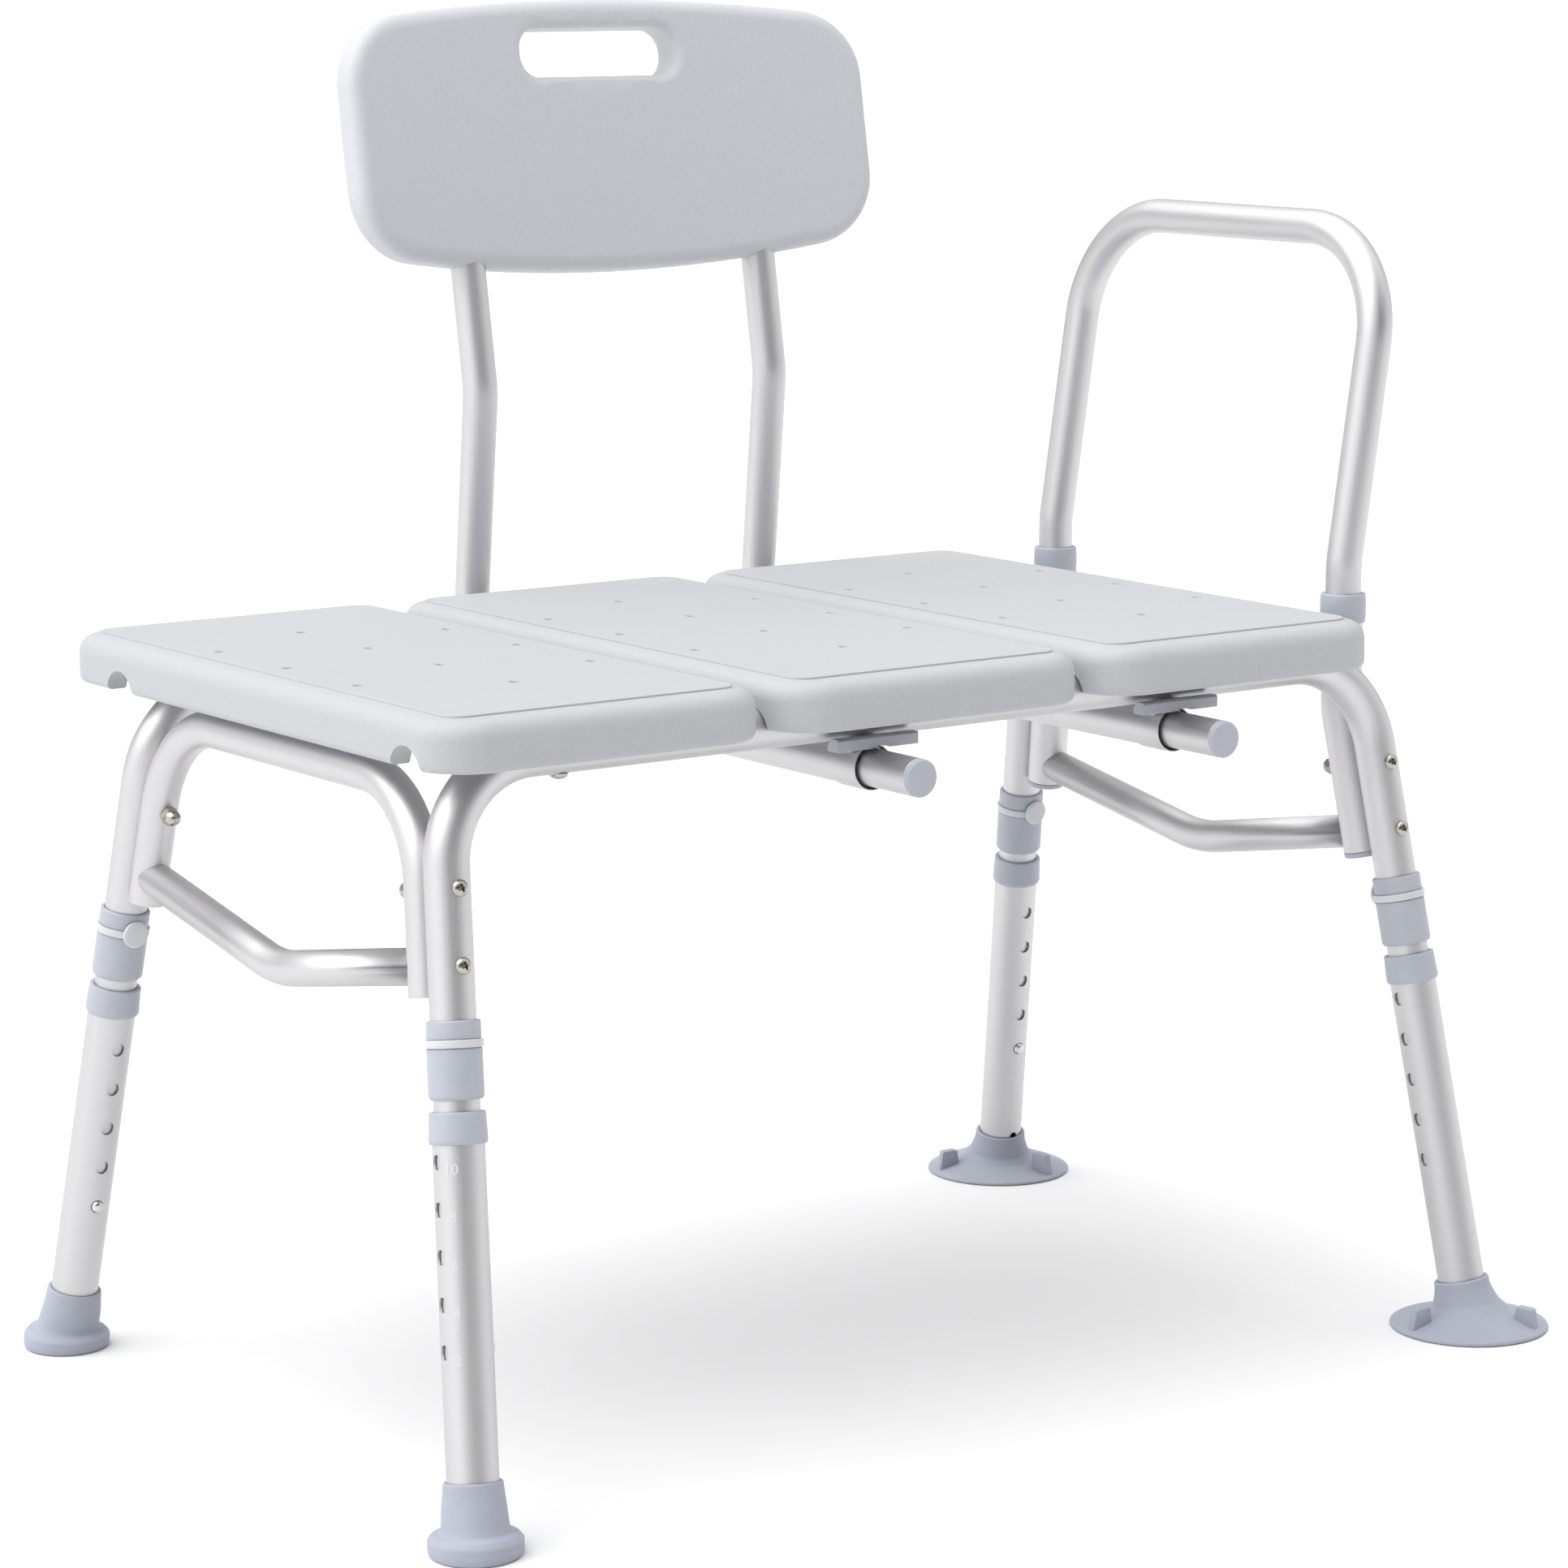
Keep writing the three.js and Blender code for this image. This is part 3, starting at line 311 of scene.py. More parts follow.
def set_radial_normals(o, base, axis, radius):
    """Smooth normals for the outer wall of a straight drilled tube."""
    mesh = o.data
    normals = [(0, 0, 0)] * len(mesh.loops)
    base, radius = (base + ORIGIN) * 0.001, radius * 0.001
    for polygon in mesh.polygons:
        outward = polygon.center - base
        outward = outward - axis * outward.dot(axis)
        if abs(outward.length - radius) > 0.0002 or polygon.normal.dot(outward.normalized()) < 0.9:
            continue
        for index in polygon.loop_indices:
            spoke = mesh.vertices[mesh.loops[index].vertex_index].co - base
            normals[index] = (spoke - axis * spoke.dot(axis)).normalized()
    mesh.normals_split_custom_set(normals)


def loops_skin(name, loops):
    """A surface through loops with the same number of points, closed at both ends."""
    count = len(loops[0])
    points = [p for loop in loops for p in loop]
    faces = []
    for i in range(len(loops) - 1):
        for k in range(count):
            n = (k + 1) % count
            faces.append([i * count + k, i * count + n, (i + 1) * count + n, (i + 1) * count + k])
    faces += [list(reversed(range(count))), list(range((len(loops) - 1) * count, len(loops) * count))]
    return new_object(name, points, faces)


# ---- Materials -----------------------------------------------------------------------------------

class Nodes:
    """A short way to write a node tree."""

    def __init__(self, name):
        self.material = bpy.data.materials.new(name)
        self.material.use_nodes = True
        self.tree = self.material.node_tree
        self.shader = self.tree.nodes["Principled BSDF"]

    def add(self, kind, values=None, **inputs):
        node = self.tree.nodes.new(kind)
        for key, value in (values or {}).items():
            setattr(node, key, value)
        for key, value in inputs.items():
            self.feed(node, key.replace("_", " "), value)
        return node

    def feed(self, node, key, value):
        if isinstance(value, bpy.types.NodeSocket):
            self.tree.links.new(value, node.inputs[key])
        else:
            node.inputs[key].default_value = value

    def noise(self, vector, scale, detail=3.0, roughness=0.55):
        made = self.add("ShaderNodeTexNoise", Vector=vector, Scale=scale, Detail=detail, Roughness=roughness)
        return made.outputs["Fac"]

    def spread(self, value, low, high, start=0.3, end=0.7):
        node = self.add("ShaderNodeMapRange")
        for key, number in (("From Min", start), ("From Max", end), ("To Min", low), ("To Max", high)):
            node.inputs[key].default_value = number
        self.feed(node, "Value", value)
        return node.outputs["Result"]

    def tint(self, value, dark, light):
        ramp = self.add("ShaderNodeValToRGB")
        ramp.color_ramp.elements[0].color = (*dark, 1)
        ramp.color_ramp.elements[1].color = (*light, 1)
        ramp.color_ramp.elements[0].position = 0.25
        ramp.color_ramp.elements[1].position = 0.75
        self.feed(ramp, "Fac", value)
        return ramp.outputs["Color"]

    def bump(self, height, strength, distance, normal=None):
        node = self.add("ShaderNodeBump", Height=height, Strength=strength, Distance=distance)
        if normal is not None:
            self.feed(node, "Normal", normal)
        return node.outputs["Normal"]


def shade(colour, share):
    return tuple(c * share for c in colour)


def grained_plastic(name, colour, grain, depth, roughness, contrast=0.05):
    """Moulded plastic with a fine pebbled grain; grain is its size in millimetres."""
    n = Nodes(name)
    place = n.add("ShaderNodeTexCoord").outputs["Object"]
    pebbles = n.noise(place, 1000 / grain, 2.0, 0.5)
    fine = n.noise(place, 3200 / grain, 2.0, 0.6)
    clouds = n.noise(place, 9, 3.0)
    n.feed(n.shader, "Base Color", n.tint(pebbles, shade(colour, 1 - contrast), shade(colour, 1 + contrast)))
    rough = n.add("ShaderNodeMath", {"operation": "ADD"})
    n.feed(rough, 0, n.spread(clouds, roughness - 0.03, roughness + 0.03))
    n.feed(rough, 1, n.spread(fine, -0.05, 0.05))
    n.feed(n.shader, "Roughness", rough.outputs[0])
    coarse = n.bump(pebbles, 0.6, depth * 0.001)
    n.feed(n.shader, "Normal", n.bump(fine, 0.3, depth * 0.0004, coarse))
    n.shader.inputs["IOR"].default_value = 1.48
    return n.material


def smooth_plastic(name, colour, roughness, subsurface=0.0):
    """Moulded plastic with faint flow marks and scuffs."""
    n = Nodes(name)
    place = n.add("ShaderNodeTexCoord").outputs["Object"]
    clouds = n.noise(place, 60, 4.0)
    fine = n.noise(place, 1600, 2.0)
    n.feed(n.shader, "Base Color", n.tint(clouds, shade(colour, 0.965), shade(colour, 1.03)))
    n.feed(n.shader, "Roughness", n.spread(clouds, roughness - 0.06, roughness + 0.06))
    n.feed(n.shader, "Normal", n.bump(fine, 0.25, 0.00004))
    n.shader.inputs["Subsurface Weight"].default_value = subsurface
    n.shader.inputs["Subsurface Scale"].default_value = 0.002
    return n.material


def soft_rubber(name, colour):
    """Matte rubber with a powdery surface."""
    n = Nodes(name)
    place = n.add("ShaderNodeTexCoord").outputs["Object"]
    clouds = n.noise(place, 45, 5.0)
    fine = n.noise(place, 1300, 3.0)
    n.feed(n.shader, "Base Color", n.tint(clouds, shade(colour, 0.95), shade(colour, 1.04)))
    n.feed(n.shader, "Roughness", n.spread(fine, 0.6, 0.78))
    n.feed(n.shader, "Normal", n.bump(fine, 0.4, 0.00006))
    n.shader.inputs["Sheen Weight"].default_value = 0.15
    n.shader.inputs["Sheen Roughness"].default_value = 0.5
    return n.material


def drawn_metal(name, colour, roughness):
    """Anodised tube: fine lines along its length, which widen the highlight, and a few faint long marks."""
    n = Nodes(name)
    along = n.add("ShaderNodeUVMap", {"uv_map": "along"}).outputs["UV"]
    lines = n.add("ShaderNodeMapping", Vector=along, Scale=(1900, 14, 1)).outputs["Vector"]
    bands = n.add("ShaderNodeMapping", Vector=along, Scale=(160, 3, 1)).outputs["Vector"]
    fine = n.noise(lines, 1.0, 3.0, 0.6)
    broad = n.noise(bands, 1.0, 3.0, 0.6)
    grain = n.noise(n.add("ShaderNodeTexCoord").outputs["Object"], 2600, 2.0)
    n.feed(n.shader, "Base Color", n.tint(broad, shade(colour, 0.97), shade(colour, 1.02)))
    rough = n.add("ShaderNodeMath", {"operation": "ADD"})
    n.feed(rough, 0, n.spread(broad, roughness - 0.03, roughness + 0.04))
    n.feed(rough, 1, n.spread(fine, -0.03, 0.03))
    n.feed(n.shader, "Roughness", rough.outputs[0])
    lined = n.bump(fine, 0.12, 0.00003)
    n.feed(n.shader, "Normal", n.bump(grain, 0.12, 0.00002, lined))
    n.shader.inputs["Metallic"].default_value = 1.0
    return n.material


def plated_metal(name, colour, roughness):
    """Bright plated or bare steel with small scratches."""
    n = Nodes(name)
    place = n.add("ShaderNodeTexCoord").outputs["Object"]
    stretched = n.add("ShaderNodeMapping", Vector=place, Scale=(1, 1, 0.25)).outputs["Vector"]
    marks = n.noise(stretched, 900, 4.0, 0.65)
    clouds = n.noise(place, 150, 3.0)
    n.feed(n.shader, "Base Color", n.tint(clouds, shade(colour, 0.92), shade(colour, 1.05)))
    n.feed(n.shader, "Roughness", n.spread(marks, roughness - 0.05, roughness + 0.08))
    n.feed(n.shader, "Normal", n.bump(marks, 0.15, 0.00003))
    n.shader.inputs["Metallic"].default_value = 1.0
    return n.material


SEAT = grained_plastic("seat_plastic", (0.436, 0.443, 0.462), 1.5, 0.12, 0.55, 0.035)
BACK = grained_plastic("back_plastic", (0.54, 0.549, 0.578), 1.6, 0.20, 0.55, 0.045)
GREY = smooth_plastic("grey_plastic", (0.40, 0.423, 0.475), 0.42)
RUBBER = soft_rubber("grey_rubber", (0.343, 0.367, 0.432))
DARK = smooth_plastic("dark_plastic", (0.41, 0.42, 0.465), 0.4)
CAP = smooth_plastic("cap_plastic", (0.395, 0.415, 0.47), 0.45)
CLEAR = smooth_plastic("clear_plastic", (0.58, 0.59, 0.61), 0.35, 0.2)
METAL = drawn_metal("satin_aluminium", (0.615, 0.607, 0.613), 0.46)
NICKEL = plated_metal("nickel", (0.46, 0.43, 0.39), 0.24)
SPRING = plated_metal("spring_steel", (0.70, 0.70, 0.71), 0.24)
NUMERAL = smooth_plastic("numeral_paint", (0.64, 0.64, 0.65), 0.5)
PAINTS = {
    "satin_aluminium": METAL, "seat_plastic": SEAT, "back_plastic": BACK, "grey_plastic": GREY,
    "grey_rubber": RUBBER, "dark_plastic": DARK, "clear_plastic": CLEAR, "nickel": NICKEL,
    "spring_steel": SPRING,
}
# The CAD nodes wear the same materials as the pieces that stand for them.
for node_name, node in frame["nodes"].items():
    node.data.materials.clear()
    node.data.materials.append(PAINTS[SLOT_OF[node_name]])


# ---- The four leg lines --------------------------------------------------------------------------

class Leg:
    def __init__(self, name, sx, sy):
        self.name, self.sx, self.sy = name, sx, sy
        self.foot = Vector((sx * FOOT_X, sy * FOOT_Y, 0))
        self.up = Vector((-sx * LEAN_X, -sy * LEAN_Y, 1)).normalized()
        self.back = (Vector((0, 1, 0)) - self.up * self.up.y).normalized()
        self.side = self.back.cross(self.up)
        self.place = Matrix((self.side, self.back, self.up)).transposed().to_4x4()
        self.place.translation = self.foot
        self.lowest_hole = LOWEST_HOLE["front" if sy < 0 else "rear"]
        # Local direction that the holes and the snap button look in.
        self.hole_axis = self.side if sy < 0 else -self.back
        self.inward = self.back * -sy
        self.radius_beside = FRAME_R if sx > 0 else SMALL_R
        self.offset = FRAME_R + self.radius_beside + 0.3

    def at(self, height):
        return self.foot + self.up * height

    def beside(self, height, distance=None):
        return self.at(height) + self.inward * (self.offset if distance is None else distance)

    def along(self, z):
        return z / self.up.z

    def turned(self, height, axis):
        """A place at a height on the leg whose Z looks along axis."""
        u = self.up.cross(axis).normalized()
        made = Matrix((u, axis.cross(u), axis)).transposed().to_4x4()
        made.translation = self.at(height)
        return made


LEGS = {name: Leg(name, sx, sy) for name, sx, sy in
        (("front_left", -1, -1), ("front_right", 1, -1), ("rear_left", -1, 1), ("rear_right", 1, 1))}
FL, FR, RL, RR = LEGS["front_left"], LEGS["front_right"], LEGS["rear_left"], LEGS["rear_right"]
RAIL_Y = RL.at(RL.along(RAIL_Z)).y


# ---- Frame ---------------------------------------------------------------------------------------

def frame_tube(node, left, right):
    corners = [left.at(left.lowest_hole - 26), left.at(left.along(RAIL_Z)),
               right.at(right.along(RAIL_Z)), right.at(right.lowest_hole - 26)]
    finish_piece(tube(node + "_detail", corners, [60, 60], FRAME_R, FRAME_BORE), node, METAL)


frame_tube("front_frame_tube", FL, FR)
frame_tube("rear_frame_tube", RL, RR)

corners = [FL.beside(FL.along(STUB_BOTTOM_Z)), FL.beside(FL.along(END_BAR_Z)),
           RL.beside(RL.along(END_BAR_Z)), RL.beside(RL.along(STUB_BOTTOM_Z))]
finish_piece(tube("left_end_tube_detail", corners, [66, 66], SMALL_R, SMALL_BORE), "left_end_tube", METAL)


def brace(node, front, rear):
    """The brace's ends are coped to fit round the uprights."""
    depth = front.radius_beside - 8
    end = [leg.beside(LOWER_BOLT, leg.offset + depth) for leg in (front, rear)]
    middle = end[0] + front.inward * (-end[0].y / front.inward.y)
    made = tube(node + "_detail", [end[0], middle, end[1]], [100], BRACE_R, BRACE_BORE, steps=40)
    uprights = []
    for leg in (front, rear):
        low, high = leg.beside(LOWER_BOLT - 30), leg.beside(LOWER_BOLT + 30)
        uprights.append(cylinder(low, high, leg.radius_beside + 0.1, 64))
    finish_piece(carve(made, *uprights), node, METAL)


brace("left_brace", FL, RL)
brace("right_brace", FR, RR)

POST = {leg.name: leg.beside(POST_KINK) for leg in (FR, RR)}
for place_name, leg in (("front", FR), ("rear", RR)):
    kink = POST[leg.name]
    bottom = leg.beside(leg.along(POST_BOTTOM_Z))
    node = "right_post_" + place_name
    line = [bottom, kink, Vector((kink.x, kink.y, POST_TOP_Z))]
    finish_piece(tube(node + "_detail", line, [60], FRAME_R, FRAME_BORE), node, METAL)
    # The plug in the post's lower end.
    seat = leg.place.copy()
    seat.translation = bottom
    profile = fillet([(0, -3.2), (12.2, -3.2), (12.7, -2.2), (12.7, -0.1), (10.6, -0.1), (10.6, 8), (0, 8)],
                     [0, 1.2, 0.4, 0.3, 0, 0.5, 0], loop=False)
    node = "post_cap_" + place_name
    finish_piece(smooth(lathe(node + "_detail", profile, seat, 40, loop=False)), node, CAP)
    # The collar on its top, with a soft lip and a shallow ridge round it.
    seat = Matrix.Translation((kink.x, kink.y, POST_TOP_Z + 2.5))
    profile = fillet([(13.0, -18), (14.0, -18), (14.25, -12), (14.25, -5), (13.9, 0), (11.3, 0), (11.3, -2.2),
                      (13.0, -2.2)],
                     [0.3, 0.6, 0.5, 1.0, 1.2, 0.5, 0, 0], steps=5)
    node = "armrest_collar_" + place_name
    finish_piece(smooth(lathe(node + "_detail", profile, seat)), node, GREY)


# ---- Armrest -------------------------------------------------------------------------------------

def armrest_side(leg):
    x, y = POST[leg.name].x, POST[leg.name].y
    top_x = x + ARMREST_LEAN * (ARMREST_TOP_Z - ARMREST_KINK_Z)
    return [Vector((x, y, ARMREST_BOTTOM_Z)), Vector((x, y, ARMREST_KINK_Z)),
            Vector((top_x, y, ARMREST_TOP_Z))]


ARMREST_LINE = armrest_side(FR) + list(reversed(armrest_side(RR)))
armrest = tube("armrest_tube_detail", ARMREST_LINE, [60, 69.5, 69.5, 60], SMALL_R, SMALL_BORE)
finish_piece(armrest, "armrest_tube", METAL)


# ---- Legs ----------------------------------------------------------------------------------------

COLLAR_R, GROOVE_R, CLIP_Z, CLIP_HEAD_Z = 15.2, 14.4, 273, 274


def leg_tube(leg):
    node = "leg_tube_" + leg.name
    line = [leg.at(LEG_TUBE_BOTTOM), leg.at(LEG_TUBE_TOP)]
    made = tube(node + "_detail", line, [], LEG_R, LEG_BORE, sides=72)
    drills = []
    for i in range(HOLE_COUNT):
        centre = leg.at(leg.lowest_hole + i * HOLE_PITCH)
        drills.append(cylinder(centre - leg.hole_axis * 20, centre + leg.hole_axis * 20, HOLE_R, 32))
    # The rear right leg also has a small hole near its foot.
    if leg is RR:
        centre = leg.at(31)
        drills.append(cylinder(centre, centre + leg.hole_axis * 20, 2.6, 24))
    carve(made, *drills)
    smooth(made, 30)
    set_radial_normals(made, leg.foot, leg.up, LEG_R)
    finish_piece(made, node, METAL)


def leg_ring(leg):
    """A slightly tapered bush with a rounded lip."""
    profile = fillet([(14.4, 219.2), (15.4, 219.2), (16.15, 221), (16.1, 223), (15.5, 236.0), (14.9, 236.6),
                      (12.9, 236.6), (12.9, 234.8), (14.4, 234.8)],
                     [0.2, 0.8, 1.0, 1.0, 0.8, 0.8, 0.4, 0, 0], steps=4)
    node = "leg_ring_" + leg.name
    finish_piece(smooth(lathe(node + "_detail", profile, leg.place)), node, GREY)


def leg_collar(leg):
    """A sleeve with a groove for its clip."""
    inner = 12.9
    bottom, top = CLIP_Z - 2.6, CLIP_Z + 2.6
    profile = fillet([(inner, 243), (14.1, 243), (COLLAR_R, 244.8), (COLLAR_R, bottom - 1.5),
                      (15.05, bottom), (GROOVE_R, bottom), (GROOVE_R, top), (14.85, top), (14.85, 284.7),
                      (14.2, 285.5), (inner, 285.5)],
                     [0.2, 0.8, 0.8, 0.5, 0.3, 0, 0, 0.3, 0.6, 0.6, 0.3], steps=3)
    node = "leg_collar_" + leg.name
    finish_piece(smooth(lathe(node + "_detail", profile, leg.place)), node, GREY)


def collar_clip(leg):
    """A band in the collar's groove with a round head over its mouth, on the leg's inner side."""
    inner, outer, half = 14.5, 15.95, 2.25
    section = fillet([(inner, -half), (outer, -half), (outer, half), (inner, half)],
                     [0.2, 0.7, 0.7, 0.2], steps=3)
    gap, steps = math.radians(5), 60
    axis = math.atan2(-leg.sy, 0)
    loops = []
    for i in range(steps + 1):
        angle = axis + gap / 2 + (2 * math.pi - gap) * i / steps
        spoke = leg.side * math.cos(angle) + leg.back * math.sin(angle)
        loops.append([leg.at(CLIP_Z + z) + spoke * r for r, z in section])
    band = loops_skin("band", loops)
    place = leg.turned(CLIP_HEAD_Z, leg.inward)
    profile = fillet([(0, 15.35), (8.0, 15.35), (8.2, 16.0), (8.1, 17.2), (6.9, 17.8), (0, 18.1)],
                     [0, 0.2, 0.3, 0.5, 0.8, 0], loop=False, steps=4)
    head = lathe("head", profile, place, 40, loop=False)
    node = "collar_clip_" + leg.name
    finish_piece(smooth(joined(node + "_detail", band, head)), node, CLEAR)


def snap_clip(leg):
    """A folded leaf inside the frame tube and its domed button."""
    fold = [(9.9, -5), (9.9, 5), (2.2, 44.5), (-0.4, 47), (-3, 44.5), (-5.8, 5), (-4.8, 5), (-2, 43.8),
            (-0.4, 45.4), (1.2, 43.8), (8.8, 5), (8.8, -5)]
    place = Matrix((leg.hole_axis, leg.up, leg.hole_axis.cross(leg.up))).transposed().to_4x4()
    place.translation = leg.at(leg.lowest_hole) - place.to_3x3().col[2] * 4
    leaf = extruded("leaf", fold, 8, place)
    profile = fillet([(0, 9), (3.7, 9), (3.7, 14.4), (3.1, 15.8), (1.6, 16.5), (0, 16.7)],
                     [0, 0, 0.4, 0.9, 0.9, 0], loop=False, steps=4)
    button = lathe("button", profile, leg.turned(leg.lowest_hole, leg.hole_axis), 32, loop=False)
    node = "snap_clip_" + leg.name
    finish_piece(smooth(joined(node + "_detail", leaf, button), 35), node, SPRING)


def cross_recess(place, height, depth):
    """A tapered cross to be cut into a screw head whose top is at height."""
    loops = []
    for z, reach, half in ((height - depth, 0.9, 0.45), (height + 1, 3.4, 0.9)):
        quarter = [(reach, -half), (reach, half), (half, half)]
        turns = [Matrix.Rotation(k * math.pi / 2 + 0.35, 4, "Z") for k in range(4)]
        loops.append([place @ turn @ Vector((x, y, z)) for turn in turns for x, y in quarter])
    return loops_skin("recess", loops)


def screw_head(place, radius, rise):
    """A domed head on the plane z = 0 of place, with a cross recess."""
    turns = [math.pi / 2 * k / 8 for k in range(8, -1, -1)]
    arc = [(radius * math.sin(a), rise * math.cos(a)) for a in turns]
    profile = [(0, -0.4), (radius, -0.4)] + arc[:-1] + [(0, rise)]
    head = lathe("head", profile, place, 32, loop=False)
    return carve(head, cross_recess(place, rise, 2.6))


def bolt(leg, which, height):
    """A domed head outside the leg, the shank, and an acorn nut or the plug in the brace's end."""
    out_place = leg.turned(height, -leg.inward)
    out_place.translation = leg.at(height) - leg.inward * (FRAME_R + 0.2)
    head = screw_head(out_place, 4.8, 2.8)
    inner = leg.offset + leg.radius_beside
    start, end = leg.at(height) - leg.inward * (FRAME_R - 1), leg.at(height) + leg.inward * (inner + 3)
    parts = [head, cylinder(start, end, 2.9)]
    if which == "upper":
        place = leg.turned(height, leg.inward)
        place.translation = leg.at(height) + leg.inward * (inner + 0.3)
        hexagon = [(5.6 * math.cos(math.pi / 3 * k), 5.6 * math.sin(math.pi / 3 * k)) for k in range(6)]
        parts.append(extruded("hexagon", hexagon, 5, place))
        turns = [math.pi / 2 * k / 8 for k in range(8)]
        dome = [(4.9, 4.6)] + [(4.9 * math.cos(a), 5.2 + 5.6 * math.sin(a)) for a in turns]
        parts.append(lathe("dome", [(0, 4.6)] + dome + [(0, 10.8)], place, 32, loop=False))
    else:
        at = leg.at(height) + leg.inward * (inner + 4)
        parts.append(cylinder(at, at + leg.inward * 14, BRACE_BORE - 0.4, 32))
    node = "bolt_" + which + "_" + leg.name
    finish_piece(smooth(joined(node + "_detail", *parts), 30), node, NICKEL)


for leg in LEGS.values():
    leg_tube(leg)
    leg_ring(leg)
    leg_collar(leg)
    collar_clip(leg)
    snap_clip(leg)
    bolt(leg, "upper", UPPER_BOLT)
    bolt(leg, "lower", LOWER_BOLT)


# ---- Feet ----------------------------------------------------------------------------------------

def blended_foot(name, leg, profile, socket_bottom, top_profile, sides=64):
    """A turned foot, flat on the floor, whose neck leans over to follow its leg.

    profile lists (radius, height) up to socket_bottom; top_profile lists (radius, height along the leg)
    above it, over the rim and down into the socket."""
    rings = []
    flat_u = Vector((1, 0, 0))
    side = (flat_u - leg.up * leg.up.x).normalized()
    for radius, z in profile:
        lean = max(0.0, min(1.0, z / socket_bottom))
        lean = lean * lean * (3 - 2 * lean)
        centre = leg.foot + Vector((leg.up.x / leg.up.z * z * lean, leg.up.y / leg.up.z * z * lean, z))
        u = flat_u.lerp(side, lean).normalized()
        normal = Vector((0, 0, 1)).lerp(leg.up, lean).normalized()
        u = (u - normal * u.dot(normal)).normalized()
        rings.append((centre, u, normal.cross(u), radius))
    for radius, height in top_profile:
        rings.append((leg.at(height), side, leg.up.cross(side), radius))
    return ring_skin(name, rings, sides)


def rubber_tip(leg):
    profile = [(0, 0), (22, 0)]
    profile += fillet([(22, 0), (25.4, 0.3), (26.2, 4), (26.1, 8.5), (23.6, 11.2), (19.6, 12.0), (18.6, 15),
                       (17.6, 26)],
                      [0, 2.0, 2.5, 2.5, 2.5, 2.2, 3.0, 0], loop=False, steps=5)[1:]
    top = fillet([(16.9, 32), (16.4, 37.6), (15.9, 38.7), (14.5, 38.7), (14.45, 12), (0, 12)],
                 [0, 0.8, 0.6, 0.4, 0, 0], loop=False, steps=4)
    node = "rubber_tip_" + leg.name
    finish_piece(smooth(blended_foot(node + "_detail", leg, profile, 26, top), 40), node, RUBBER)


def suction_cup(leg, tab_turn):
    under = fillet([(0, 5), (24, 4), (40, 1.6), (44.5, 0), (47.6, 0), (49.2, 1.0), (48.6, 2.4), (44, 4.2),
                    (34, 7.2), (25.5, 10.4), (20.4, 15.2), (17.9, 22)],
                   [0, 10, 6, 1, 0.8, 0.8, 1.2, 4, 8, 6, 5, 0], loop=False, steps=4)
    top = fillet([(17.1, 26), (17.0, 29.4), (16.2, 30.4), (14.6, 30.3), (14.45, 14), (0, 14)],
                 [0, 0.9, 0.7, 0.4, 0, 0], loop=False, steps=4)
    cup = blended_foot("cup", leg, under, 22, top, 80)
    tabs = []
    for third in range(3):
        turn = Matrix.Translation(leg.foot) @ Matrix.Rotation(tab_turn + math.tau * third / 3, 4, "Z")
        outline = [(30.4, 4), (45.4, 2.4), (43.2, 15.6), (42.2, 16.6), (33.2, 17.2), (32.1, 16.2)]
        points = [turn @ Vector((x, y, z)) for y in (-3.2, 3.2) for x, z in outline]
        count = len(outline)
        faces = [list(range(count)), list(reversed(range(count, 2 * count)))]
        faces += [[count + k, count + (k + 1) % count, (k + 1) % count, k] for k in range(count)]
        tab = new_object("tab", points, faces)
        edit = bmesh.new()
        edit.from_mesh(tab.data)
        bmesh.ops.recalc_face_normals(edit, faces=edit.faces)
        bmesh.ops.bevel(edit, geom=edit.edges[:], offset=0.0007, segments=3, profile=0.5, affect="EDGES")
        edit.to_mesh(tab.data)
        edit.free()
        tabs.append(tab)
    node = "suction_cup_" + leg.name
    finish_piece(smooth(joined(node + "_detail", cup, *tabs), 40), node, RUBBER)


rubber_tip(FL)
rubber_tip(RL)
suction_cup(FR, -1.15)
suction_cup(RR, -1.31)


# ---- Seat ----------------------------------------------------------------------------------------

def rounded_rectangle(width, depth, radius, steps=10):
    radius = max(radius, 0.5)
    out = []
    for sx, sy, quarter in ((1, 1, 0), (-1, 1, 1), (-1, -1, 2), (1, -1, 3)):
        for k in range(steps + 1):
            angle = math.pi / 2 * (quarter + k / steps)
            out.append((sx * (width / 2 - radius) + radius * math.cos(angle),
                        sy * (depth / 2 - radius) + radius * math.sin(angle)))
    return out


